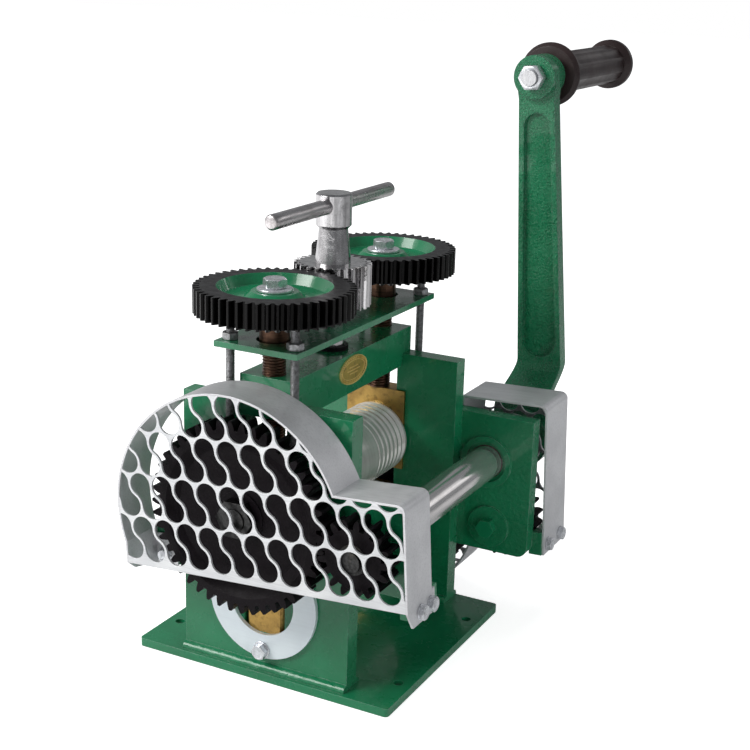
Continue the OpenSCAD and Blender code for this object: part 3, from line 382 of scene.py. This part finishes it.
BADGE_FIELD = brass("badge_field", light=(0.62, 0.45, 0.11), dark=(0.40, 0.28, 0.07),
                    tarnish=0.5, metallic=0.6)
GRIP = plastic("grip_plastic", light=(0.036, 0.023, 0.023), dark=(0.020, 0.012, 0.012))
PAINTED_BUSH = painted_bush("painted_bush")

SLOT_MATERIALS = {
    "green_paint": GREEN_PLATE,
    "hammered_green": GREEN_ROUGH,
    "bearing_brass": BRASS,
    "badge_brass": BADGE_BRASS,
    "zinc_sheet": ZINC,
    "bright_fasteners": BRIGHT,
    "black_iron": IRON,
    "gear_black": GEAR_BLACK,
    "roll_steel": ROLL_STEEL,
    "dark_steel": RUSTY,
    "pinion_chrome": CHROME,
    "grip_plastic": GRIP,
}

# Nodes that don't look like the rest of their slot
NODE_MATERIALS = {
    "idler_bolt": GREEN_PLATE,
    "upper_gear_nut": DARK_STEEL_AND_SHADE,
    "ring_cover": RING_ZINC,
    "countershaft": SHAFT_STEEL,
    "front_bush": PAINTED_BUSH,
    "rear_bush": PAINTED_BUSH,
    "rear_bracket": GREEN_BRUSHED,
}


# The CAD nodes' materials
def dress_nodes():
    for part in frame["record"]["subparts"]:
        materials = frame["nodes"][part["node"]].data.materials
        materials.clear()
        materials.append(NODE_MATERIALS.get(part["node"], SLOT_MATERIALS[part["material_slot"]]))


def paint_faces(node, material, chosen):
    """Gives a second material to the faces of a CAD node that a test picks by centre and normal."""
    mesh = frame["nodes"][node].data
    mesh.materials.append(material)
    last = len(mesh.materials) - 1
    for face in mesh.polygons:
        if chosen(face.center, face.normal):
            face.material_index = last


def dress_side_gears():
    """Green paint in the dish of both side gears, and dull black on their top faces."""
    dish_r, dish_floor = 38.4 * MM, 2 * MM
    for node in ("front_side_gear", "rear_side_gear"):
        low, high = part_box(node)
        axis = (low + high) / 2

        def in_dish(centre, normal):
            near = math.hypot(centre.x - axis.x, centre.y - axis.y) < dish_r
            return near and centre.z > low.z + dish_floor and normal.z > -0.5

        def on_top(centre, normal):
            return normal.z > 0.9 and not in_dish(centre, normal)

        paint_faces(node, GREEN_DISH, in_dish)
        paint_faces(node, GEAR_FACE, on_top)


def dress_welds():
    """Gives the weld beads at the foot of both plates a rougher paint."""
    bead = 4.5 * MM
    for node in ("front_frame_plate", "rear_frame_plate"):
        low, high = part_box(node)

        def in_bead(centre, normal):
            beside = centre.y < low.y + bead - 0.1 * MM or centre.y > high.y - bead + 0.1 * MM
            return beside and centre.z < low.z + bead + 0.2 * MM

        paint_faces(node, GREEN_WELD, in_bead)


def shade_shaft_ends():
    """Blackens the front ends of two shafts, as far back as the front pinion reaches: painted shade
    where the front guard hides them.
    """
    pinion_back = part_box("front_pinion")[1].y
    for node in ("countershaft", "upper_roll"):
        paint_faces(node, DARK_STEEL_AND_SHADE, lambda centre, normal: centre.y < pinion_back)


dress_nodes()
dress_side_gears()
dress_welds()
shade_shaft_ends()


# Turned and hexagonal forms, in millimetres
class Solid:
    """Points and faces in millimetres, with a material index for each face."""

    def __init__(self):
        self.points = []
        self.faces = []
        self.kinds = []

    def skin(self, rings, loop=False, kinds=None):
        """Joins rings of points, and closes both ends unless the rings run round in a loop.

        kinds has a material index for each band between two rings, then one for each end.
        """
        start, count, steps = len(self.points), len(rings), len(rings[0])
        bands = count if loop else count - 1
        kinds = kinds or [0] * (bands + 2)
        for ring in rings:
            self.points += ring
        for i in range(bands):
            near, far = start + i * steps, start + (i + 1) % count * steps
            for k in range(steps):
                after = (k + 1) % steps
                self.faces.append((near + k, near + after, far + after, far + k))
                self.kinds.append(kinds[i])
        if not loop:
            last = start + (count - 1) * steps
            self.faces.append(tuple(start + k for k in reversed(range(steps))))
            self.faces.append(tuple(last + k for k in range(steps)))
            self.kinds += kinds[-2:]

    def turn(self, rings, place, steps=48, loop=False):
        """Rings of (height, radius), where a radius may depend on the angle."""
        placed = []
        for height, radius in rings:
            ring = []
            for k in range(steps):
                angle = math.tau * k / steps
                r = radius(angle) if callable(radius) else radius
                ring.append(place @ Vector((r * math.cos(angle), r * math.sin(angle), height)))
            placed.append(ring)
        self.skin(placed, loop)

    def bar(self, centre, start, end, half, rise):
        """A low bar with sloped flanks on a face that looks along X."""
        along = (end - start).normalized()
        across = Vector((1, 0, 0)).cross(along)
        base = len(self.points)
        for out, width, cut_back in ((0.0, half, 0.0), (rise, half * 0.6, half * 0.4)):
            near, far = start + along * cut_back, end - along * cut_back
            for tip, way in ((near, -1), (near, 1), (far, 1), (far, -1)):
                self.points.append(centre + tip + across * width * way + Vector((out, 0, 0)))
        for a, b in ((0, 1), (1, 2), (2, 3), (3, 0)):
            self.faces.append((base + a, base + b, base + 4 + b, base + 4 + a))
        self.faces.append((base + 4, base + 5, base + 6, base + 7))
        self.faces.append((base + 3, base + 2, base + 1, base))
        self.kinds += [0] * 6

    def make(self, name, materials, body, slot, node, sharp=32.0):
        mesh = bpy.data.meshes.new(name)
        mesh.from_pydata([p * MM for p in self.points], [], self.faces)
        for material in materials:
            mesh.materials.append(material)
        for face, kind in zip(mesh.polygons, self.kinds):
            face.material_index = kind
        mesh.validate()
        add_piece(name, mesh, sharp, body, node)


def add_piece(name, mesh, sharp, body, node):
    """A piece that rides a body and stands for a CAD node, with edges sharp above an angle."""
    for face in mesh.polygons:
        face.use_smooth = True
    mesh.set_sharp_from_angle(angle=math.radians(sharp))
    piece = new_object(name, mesh)
    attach(piece, body)
    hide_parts(node)


def hexagon(af, limit):
    """Radius of a hexagon by angle, cut off by a circle."""
    def radius(angle):
        side = angle % (math.tau / 6) - math.tau / 12
        return min(af / 2 / math.cos(side), limit)
    return radius


def chamfer(af):
    """Corner radius of a hexagon, radius where its 30 degree chamfer starts, and the drop."""
    corner, flat = af / math.sqrt(3), 0.47 * af
    return corner, flat, (corner - flat) * math.tan(math.radians(30))


def washer_rings(r, t):
    """A washer with its edges broken."""
    rim = min(0.45, t * 0.35)
    return [(0.0, r - rim), (rim, r), (t - rim, r), (t - 0.3 * rim, r - 0.4 * rim),
            (t, r - 1.6 * rim)]


def head_rings(af, low, height):
    """A hexagon head with a chamfer, a washer face and a shallow hollow on top."""
    corner, flat, fall = chamfer(af)
    top, face = low + height, low + 0.05 * height
    rings = [(low, 0.46 * af), (face, 0.475 * af), (face, hexagon(af, corner * 0.95)),
             (low + 0.12 * height, hexagon(af, corner))]
    rings += [(top - fall * (1 - k / 6), hexagon(af, corner - (corner - flat) * k / 6))
              for k in range(7)]
    rings += [(top, 0.43 * af), (top - 0.03 * af, 0.38 * af), (top - 0.035 * af, 0.1 * af)]
    return rings


def nut_rings(af, height, bore):
    """A hexagon nut with both ends chamfered. Its rings run round in a loop through the bore."""
    corner, flat, fall = chamfer(af)
    rings = [(0.0, bore + 0.3), (0.0, flat)]
    rings += [(fall * k / 3, hexagon(af, flat + (corner - flat) * k / 3)) for k in range(4)]
    rings += [(height - fall * (1 - k / 4), hexagon(af, corner - (corner - flat) * k / 4))
              for k in range(5)]
    rings += [(height, bore + 0.5), (height - 0.5, bore), (0.3, bore)]
    return rings


def thread(root, crest, pitch, low, high, rows):
    """Rings of a right-hand thread with short plain ends. rows is the rings in one pitch."""
    rings = []
    count = int((high - low) / pitch * rows)
    for i in range(count + 1):
        z = low + (high - low) * i / count

        def radius(angle, z=z):
            phase = (z / pitch - angle / math.tau) % 1.0
            # Straight flanks between flat roots and crests
            wave = min(1.0, max(0.0, 2.4 * abs(2 * phase - 1) - 0.7))
            fade = min(1.0, (z - low) / pitch, (high - z) / pitch)
            return crest - (crest - root) * (1 - wave) * fade

        rings.append((z, radius))
    return rings


def at(x, y, z, axis=(0, 0, 1), spin=0.0):
    """A place whose own Z axis points along an axis."""
    turn = Vector((0, 0, 1)).rotation_difference(Vector(axis)).to_matrix().to_4x4()
    return Matrix.Translation((x, y, z)) @ turn @ Matrix.Rotation(math.radians(spin), 4, "Z")


def middle(low, high):
    """Centre of a box in metres, given in millimetres."""
    return (low + high) / 2 / MM


def islands(node):
    """Lowest and highest corner of each separate solid of a CAD node, in metres."""
    shell = bmesh.new()
    shell.from_mesh(frame["nodes"][node].data)
    bmesh.ops.remove_doubles(shell, verts=shell.verts, dist=1e-6)
    left = set(shell.verts)
    found = []
    for first in list(shell.verts):
        if first not in left:
            continue
        left.remove(first)
        todo, lot = [first], [first]
        while todo:
            for edge in todo.pop().link_edges:
                other = edge.verts[0] if edge.verts[0] in left else edge.verts[1]
                if other in left:
                    left.remove(other)
                    todo.append(other)
                    lot.append(other)
        low = Vector([min(v.co[i] for v in lot) for i in range(3)])
        high = Vector([max(v.co[i] for v in lot) for i in range(3)])
        found.append((low, high))
    shell.free()
    return found


# Both guards lean a little, by these angles about Y
FRONT_LEAN = math.radians(3.9)
REAR_LEAN = math.radians(2.3)


# Pieces that stand for plain CAD fasteners, threads, the badge and the cross rod
def make_gear_bolts():
    """The bolts on the side gears, each with a washer and the shank that reaches into the screw."""
    washer, head = 2.0, 6.5
    shank = [(-22.0, 3.6), (-21.4, 4.0), (0.4, 4.0)]
    for side, spin in (("front", 17), ("rear", 8)):
        low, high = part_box(side + "_gear_bolt")
        centre = middle(low, high)
        foot = high.z / MM - (washer + head)
        upright = at(centre.x, centre.y, foot)
        bolt = Solid()
        bolt.turn(washer_rings(r=12.0, t=washer), upright, 72)
        turned = at(centre.x, centre.y, foot, spin=spin)
        bolt.turn(head_rings(af=14.0, low=washer, height=head), turned, 96)
        bolt.turn(shank, upright, 32)
        bolt.make(side + "_hex_bolt", [BOLT_ZINC], side + "_screw_set", "bright_fasteners",
                  side + "_gear_bolt")


def make_ring_bolt():
    low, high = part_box("ring_bolt")
    centre = middle(low, high)
    place = at(centre.x, high.y / MM, centre.z, (0, -1, 0), spin=12)
    bolt = Solid()
    bolt.turn(washer_rings(r=6.5, t=1.0), place)
    bolt.turn(head_rings(af=10.0, low=1.0, height=4.5), place, 96)
    bolt.make("cover_hex_bolt", [BOLT_ZINC], "frame", "bright_fasteners", "ring_bolt")


def make_guard_bolts():
    """Two bolts in the leaning right side of each guard, and one in the front guard's left tab."""
    sunk = 2.0
    bolts = Solid()
    for low, high in islands("guard_bolts"):
        centre = middle(low, high)
        wide = (high - low) / MM
        if wide.y < wide.x:
            place = at(centre.x, high.y / MM, centre.z, (0, -1, 0))
        else:
            lean = FRONT_LEAN if centre.y < 0 else REAR_LEAN
            axis = Vector((math.cos(lean), 0, math.sin(lean)))
            place = at(*(centre - axis * sunk), axis, spin=9 * centre.y % 60)
        bolts.turn(washer_rings(r=5.3, t=0.8), place, 40)
        bolts.turn(head_rings(af=9.0, low=0.6, height=3.4), place, 72)
    bolts.make("guard_hex_bolts", [BOLT_ZINC], "frame", "bright_fasteners", "guard_bolts")


def make_studs():
    studs, nuts = Solid(), Solid()
    for low, high in islands("studs"):
        centre = middle(low, high)
        rings = thread(root=2.25, crest=3.0, pitch=1.0, low=low.z / MM, high=high.z / MM, rows=6)
        studs.turn(rings, at(centre.x, centre.y, 0), 20)
    for k, (low, high) in enumerate(islands("stud_nuts")):
        centre = middle(low, high)
        place = at(centre.x, centre.y, low.z / MM, spin=23 * k)
        rings = nut_rings(af=10.0, height=(high.z - low.z) / MM, bore=2.9)
        nuts.turn(rings, place, 72, loop=True)
    studs.make("threaded_studs", [STUD_ZINC], "carriage", "bright_fasteners", "studs", sharp=60.0)
    nuts.make("stud_hex_nuts", [STUD_ZINC], "carriage", "bright_fasteners", "stud_nuts")


def make_pressure_screws():
    """The screws, with the collar and the neck above the thread as heights and radii."""
    thread_top = 230.6
    collar = [(230.7, 12.2), (231.4, 13.0), (234.0, 13.0), (234.7, 12.3)]
    neck = [(234.75, 10.0), (257.2, 10.0), (257.5, 9.6)]
    for side in ("front", "rear"):
        low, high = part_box(side + "_pressure_screw")
        centre = middle(low, high)
        top = high.z / MM
        rings = thread(root=6.9, crest=7.9, pitch=2.0, low=low.z / MM, high=thread_top, rows=8)
        rings += collar + neck + [(257.5, 8.0), (top - 0.6, 8.0), (top, 7.4)]
        screw = Solid()
        screw.turn(rings, at(centre.x, centre.y, 0))
        screw.make(side + "_threaded_screw", [RUSTY], side + "_screw_set", "dark_steel",
                   side + "_pressure_screw")


def make_crank_nut():
    low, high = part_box("crank_nut")
    centre = middle(low, high)
    place = at(centre.x, high.y / MM, centre.z, (0, -1, 0), spin=4.22)
    nut = Solid()
    nut.turn(nut_rings(af=17.8, height=(high.y - low.y) / MM, bore=6.0), place, 96, loop=True)
    nut.make("arm_hex_nut", [BOLT_ZINC], "crank", "bright_fasteners", "crank_nut")


def make_badge():
    """An oval badge with a rolled rim, a ring of small ticks, a sunk field and three bars."""
    brass_kind, field_kind = 0, 1
    # Size as a share of the half height, rise as a share of the thickness, material
    profile = [
        (1.0, 0.0, brass_kind), (1.0, 0.75, brass_kind), (0.985, 1.0, brass_kind),
        (0.95, 1.0, brass_kind), (0.935, 0.8, brass_kind), (0.92, 0.55, field_kind),
        (0.70, 0.55, field_kind), (0.69, 0.8, brass_kind), (0.665, 0.85, brass_kind),
        (0.65, 0.55, field_kind),
    ]
    steps, ticks = 120, 44
    low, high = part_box("badge")
    centre = middle(low, high)
    half_y, half_z = (high.y - low.y) / MM / 2, (high.z - low.z) / MM / 2
    thick = (high.x - low.x) / MM

    def oval(share, gap, angle):
        """Y and Z from the centre to an oval that lies a gap outside a share of the badge."""
        inset = half_z * (1 - share)
        return (half_y - inset + gap) * math.cos(angle), (half_z - inset + gap) * math.sin(angle)

    rings = []
    for share, rise, _ in profile:
        offsets = [oval(share, 0.0, math.tau * k / steps) for k in range(steps)]
        x = low.x / MM + thick * rise
        rings.append([Vector((x, centre.y + y, centre.z + z)) for y, z in offsets])
    kinds = [min(profile[i][2], profile[i + 1][2]) for i in range(len(profile) - 1)]
    badge = Solid()
    badge.skin(rings, kinds=kinds + [brass_kind, field_kind])

    field = low.x / MM + thick * 0.5
    relief = thick * 0.36
    for k in range(ticks):
        angle = math.tau * (k + 0.5) / ticks
        inner, outer = Vector((0, *oval(0.70, 0.5, angle))), Vector((0, *oval(0.92, -0.4, angle)))
        badge.bar(Vector((field, centre.y, centre.z)), inner, outer, half=0.32, rise=relief)
    for row, reach in ((-1, 6.0), (0, 9.0), (1, 6.0)):
        row_centre = Vector((field, centre.y, centre.z + row * 2.3))
        badge.bar(row_centre, Vector((0, -reach, 0)), Vector((0, reach, 0)), half=0.5, rise=relief)
    badge.make("oval_badge", [BADGE_BRASS, BADGE_FIELD], "frame", "badge_brass", "badge")


def make_tee_rod():
    """The cross rod with turned chamfers at both ends."""
    low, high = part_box("tee_rod")
    centre = middle(low, high)
    r = (high.x - low.x) / MM / 2
    length = (high.y - low.y) / MM
    end = 1.4
    rings = [(0.0, r - 1.5), (0.25, r - 1.0), (1.0, r - 0.15), (end, r)]
    rings += [(end + (length - 2 * end) * k / 24, r) for k in range(1, 25)]
    rings += [(length - 1.0, r - 0.15), (length - 0.25, r - 1.0), (length, r - 1.5)]
    rod = Solid()
    rod.turn(rings, at(centre.x, low.y / MM, centre.z, (0, 1, 0)), 64)
    rod.make("cross_rod", [TEE_STEEL], "adjuster", "roll_steel", "tee_rod")


# Guard sheets, drawn flat in X and Z
SHEET = 1.5
PITCH = 17.52
LOBE_R = 7.93
PATTERN_X, PATTERN_Z = -49.12, -13.17
ROW_SHIFT = 0.37
OVERCUT = 3


def slot_outline(x, z):
    """One slot: two round lobes on a triangular grid, joined by arcs that leave an even web."""
    high = PITCH * math.sin(math.radians(60))
    arcs = (
        (0.0, 0.0, LOBE_R, 0, 240, 16),
        (-PITCH / 2, -high, PITCH - LOBE_R, 60, 0, 6),
        (PITCH / 2, -high, LOBE_R, 180, 420, 16),
        (PITCH, 0.0, PITCH - LOBE_R, 240, 180, 6),
    )
    points = []
    for cx, cz, r, start, end, steps in arcs:
        for k in range(steps):
            angle = math.radians(start + (end - start) * k / steps)
            points.append((x + cx + r * math.cos(angle), z + cz + r * math.sin(angle)))
    return points


def slots(rows, columns, wanted):
    """Outlines of the pattern's slots whose upper lobe passes a test."""
    found = []
    for row in rows:
        for column in columns:
            x = PATTERN_X + column * PITCH + row * ROW_SHIFT
            z = PATTERN_Z + row * PITCH * math.sqrt(3)
            if wanted(x, z):
                found.append(slot_outline(x, z))
    return found


def arc(cx, cz, r, start, end, steps):
    """Points of an arc between two angles in degrees, with both ends."""
    angles = [math.radians(start + (end - start) * k / steps) for k in range(steps + 1)]
    return [(cx + r * math.cos(angle), cz + r * math.sin(angle)) for angle in angles]


def circle(r):
    """Points of a circle round the origin, one for every 3 degrees."""
    return arc(0, 0, r, 0, 357, 119)


def prism(outlines, near, far, place):
    """Mesh of flat outlines in X and Z, in millimetres, thickened along Y and placed."""
    points, faces = [], []
    for outline in outlines:
        start, count = len(points), len(outline)
        for y in (near, far):
            points += [place @ Vector((x, y, z)) * MM for x, z in outline]
        faces.append(tuple(range(start, start + count)))
        faces.append(tuple(reversed(range(start + count, start + 2 * count))))
        for k in range(count):
            after = (k + 1) % count
            faces.append((start + after, start + k, start + count + k, start + count + after))
    mesh = bpy.data.meshes.new("prism")
    mesh.from_pydata(points, [], faces)
    shell = bmesh.new()
    shell.from_mesh(mesh)
    bmesh.ops.recalc_face_normals(shell, faces=shell.faces)
    shell.to_mesh(mesh)
    shell.free()
    return mesh


def cut(mesh, tool):
    """The first mesh less the second. Solids of the second mesh must not overlap each other."""
    whole = new_object("whole", mesh)
    part = new_object("part", tool)
    modifier = whole.modifiers.new("cut", "BOOLEAN")
    modifier.operation = "DIFFERENCE"
    modifier.solver = "EXACT"
    modifier.object = part
    graph = bpy.context.evaluated_depsgraph_get()
    result = bpy.data.meshes.new_from_object(whole.evaluated_get(graph))
    for thing in (whole, part):
        bpy.data.objects.remove(thing)
    return result


def make_sheet(name, node, mesh):
    mesh.materials.clear()
    mesh.materials.append(SHEET_FACE)
    add_piece(name, mesh, 40.0, "frame", node)


def make_front_sheet():
    """The face of the front guard: a dome over the upper roll's gear, a box over the pinion.

    Its origin is the dome's centre.
    """
    centre_x, centre_z, spare = -2.5, 128.5, 4
    dome, left, right, shelf, foot, corner = 84.5, 80.7, 127.9, 28.5, 40.2, 5.0
    dome_start = 180 + math.degrees(math.acos(left / dome))
    dome_end = math.degrees(math.asin(shelf / dome))
    outline = [(-left, -foot)] + arc(0, 0, dome, dome_start, dome_end, 90)
    outline += arc(right - corner, shelf - corner, corner, 90, 0, 8) + [(right, -foot)]

    def meets_sheet(x, z):
        return -left - PITCH <= x <= right + spare

    place = Matrix.Translation((centre_x, 0, centre_z)) @ Matrix.Rotation(-FRONT_LEAN, 4, "Y")
    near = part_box("front_guard_face")[0].y / MM
    far = near + SHEET
    face = prism([outline], near, far, place)
    front_slots = slots(range(4), range(-4, 12), meets_sheet)
    holes = prism(front_slots, near - OVERCUT, far + OVERCUT, place)
    make_sheet("front_guard_sheet", "front_guard_face", cut(face, holes))


def make_rear_sheet():
    """The back of the rear guard: a dome over the lower roll's gear, a box over pinion and idler.

    Its origin is the countershaft's axis.
    """
    shaft_x, shaft_z, roll_z, dome_foot_z = 86.207, 120.5, 67.0, 9.0
    left, waist, right, top, foot, corner, dome = 23.5, 27.5, 41.0, 43.5, 72.0, 5.0, 72.5
    shaft_hole_r, hub_r, strip = 15.0, 22.0, 2.2
    dome_x = -shaft_x * math.cos(REAR_LEAN) + (roll_z - shaft_z) * math.sin(REAR_LEAN)
    dome_z = shaft_x * math.sin(REAR_LEAN) + (roll_z - shaft_z) * math.cos(REAR_LEAN)
    lean = math.degrees(REAR_LEAN)
    slant = math.degrees(math.asin((roll_z - dome_foot_z) / dome))
    meets_box = math.degrees(math.acos((-waist - dome_x) / dome))
    meets_foot = math.degrees(math.asin((-foot - dome_z) / dome))
    outline = [(right, -foot)] + arc(right - corner, top - corner, corner, 0, 90, 8)
    outline += [(-left, top), (-waist, 0.0)]
    outline += arc(dome_x, dome_z, dome, meets_box, 180 + slant - lean, 70)
    outline += arc(dome_x, dome_z, dome, -slant - lean, meets_foot, 16)

    def meets_sheet(x, z):
        slot_drop, dome_spare, box_spare = 7.6, 14, 20
        in_dome = math.hypot(x + PITCH / 4 - dome_x, z - dome_z - slot_drop) < dome + dome_spare
        beside, level = -waist - PITCH < x < right, -foot - box_spare < z < top + box_spare
        return in_dome or beside and level

    # Plain sheet stays round the shaft's hole and along the lower edges of the dome and the box.
    # The dome's strip is drawn between two points past the ends of its edge.
    past, below = 12, 4
    (x0, z0), (x1, z1) = (arc(dome_x, dome_z, dome + past, angle - lean, 0, 1)[0]
                          for angle in (180 + slant, -slant))
    rise = strip + past * math.sin(math.radians(slant))
    box_left, box_right, low, high = -22, right + 4, -foot - 3, -foot + strip
    plain = [circle(hub_r),
             [(x0, z0 - below), (x1, z1 - below), (x1, z1 + rise), (x0, z0 + rise)],
             [(box_left, low), (box_right, low), (box_right, high), (box_left, high)]]

    place = Matrix.Translation((shaft_x, 0, shaft_z)) @ Matrix.Rotation(-REAR_LEAN, 4, "Y")
    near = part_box("rear_guard_face")[0].y / MM
    far = near + SHEET
    rear_slots = slots(range(-4, 3), range(-9, 8), meets_sheet)
    pattern = prism(rear_slots, near - OVERCUT, far + OVERCUT, place)
    holes = cut(pattern, prism(plain, near - OVERCUT - 1, far + OVERCUT + 1, place))
    face = cut(prism([outline], near, far, place), holes)
    shaft_hole = prism([circle(shaft_hole_r)], near - OVERCUT, far + OVERCUT, place)
    make_sheet("rear_guard_sheet", "rear_guard_face", cut(face, shaft_hole))


make_front_sheet()
make_rear_sheet()
make_gear_bolts()
make_ring_bolt()
make_guard_bolts()
make_studs()
make_pressure_screws()
make_crank_nut()
make_badge()
make_tee_rod()


# Stage
WHITE = (1.0, 1.0, 1.0, 1.0)


def make_floor():
    size, below = 8.0, 0.0004
    mesh = bpy.data.meshes.new("floor")
    mesh.from_pydata([(-size, -size, 0), (size, -size, 0), (size, size, 0), (-size, size, 0)], [],
                     [(0, 1, 2, 3)])
    floor = new_object("floor", mesh)
    floor.location.z = -below
    s = Shader("floor")
    path = s.add("ShaderNodeLightPath", {}).outputs
    place = s.xyz(s.place)
    seen = s.math("MAXIMUM", path["Is Camera Ray"], path["Is Transmission Ray"])
    # The lamps light the far floor less, so it glows a little more there and stays white
    far = s.math("MAXIMUM", s.math("ABSOLUTE", place["X"]), s.math("ABSOLUTE", place["Y"]))
    glow = s.math("MULTIPLY", seen, s.ramp(far, 0.7, 2.0, 0.80, 1.0))
    # Glossy rays see a table that is bright at the front left and dim at the back right
    lean = s.math("ADD", place["X"], s.math("MULTIPLY", place["Y"], 0.8))
    shine = s.math("MULTIPLY", path["Is Glossy Ray"], s.ramp(lean, -0.9, 0.3, 0.85, 0.02))
    s.set(Base_Color=(0.80, 0.80, 0.80, 1.0), Roughness=0.9, Specular_IOR_Level=0.1)
    s.set(Emission_Color=WHITE, Emission_Strength=s.math("ADD", glow, shine))
    mesh.materials.append(s.mat)


def make_world():
    """A dim sky for the light, white to the camera, and a studio of its own for reflections."""
    world = bpy.data.worlds.new("studio")
    sky = Nodes(world)
    bpy.context.scene.world = world
    ambient = sky.nodes["Background"]
    ambient.inputs["Color"].default_value = (0.93, 0.97, 1.0, 1.0)
    ambient.inputs["Strength"].default_value = 0.20
    white = sky.add("ShaderNodeBackground", {"Color": WHITE, "Strength": 1.0})
    path = sky.add("ShaderNodeLightPath", {}).outputs
    seen = sky.math("MAXIMUM", path["Is Camera Ray"], path["Is Transmission Ray"])
    way = sky.xyz(sky.add("ShaderNodeTexCoord", {}).outputs["Generated"])
    # Glossy rays see a wall that is bright at the left, dim from the front round to the right and
    # dimmer towards the back, below a dark ceiling
    walls = sky.product(
        sky.ramp(way["X"], -0.75, 0.15, 0.85, 0.07),
        sky.ramp(way["Z"], 0.30, 0.70, 1.0, 0.12),
        sky.ramp(way["Y"], 0.0, 0.6, 1.0, 0.22),
    )
    # A soft strip behind at the right draws the bright line along shafts and rolls
    strip = sky.product(
        sky.ramp(way["Z"], 0.17, 0.27),
        sky.ramp(way["Z"], 0.36, 0.46, 1.0, 0.0),
        sky.ramp(way["X"], 0.12, 0.30),
        sky.ramp(way["Y"], 0.3, 0.55),
    )
    shine = sky.math("MULTIPLY", path["Is Glossy Ray"], sky.math("MAXIMUM", walls, strip))
    blend = sky.add("ShaderNodeMixShader", {
        "Fac": sky.math("MAXIMUM", seen, shine), 1: ambient.outputs[0], 2: white.outputs[0],
    })
    sky.feed(sky.nodes["World Output"].inputs["Surface"], blend.outputs[0])


def make_lamp(name, place, aim, size, power, colour, glossy=False):
    """A rectangular lamp. Only a glossy one shows in reflections."""
    data = bpy.data.lights.new(name, "AREA")
    data.shape = "RECTANGLE"
    data.size, data.size_y = size
    data.energy = power
    data.color = colour
    lamp = new_object(name, data)
    lamp.location = place
    lamp.rotation_euler = (Vector(aim) - Vector(place)).to_track_quat("-Z", "Y").to_euler()
    lamp.visible_glossy = glossy


make_floor()
make_world()
make_lamp("key", place=(-1.5, -1.7, 1.7), aim=(0.0, 0.0, 0.15), size=(1.4, 1.2), power=58.0,
          colour=(1.0, 0.995, 0.98), glossy=True)
make_lamp("right", place=(2.2, -0.9, 0.65), aim=(0.0, 0.0, 0.2), size=(0.7, 1.1), power=13.0,
          colour=(0.98, 0.99, 1.0))
make_lamp("top", place=(-0.2, 0.9, 2.0), aim=(0.0, 0.0, 0.2), size=(1.2, 0.9), power=12.0,
          colour=(1.0, 1.0, 1.0))

bpy.context.scene.view_settings.view_transform = "Standard"
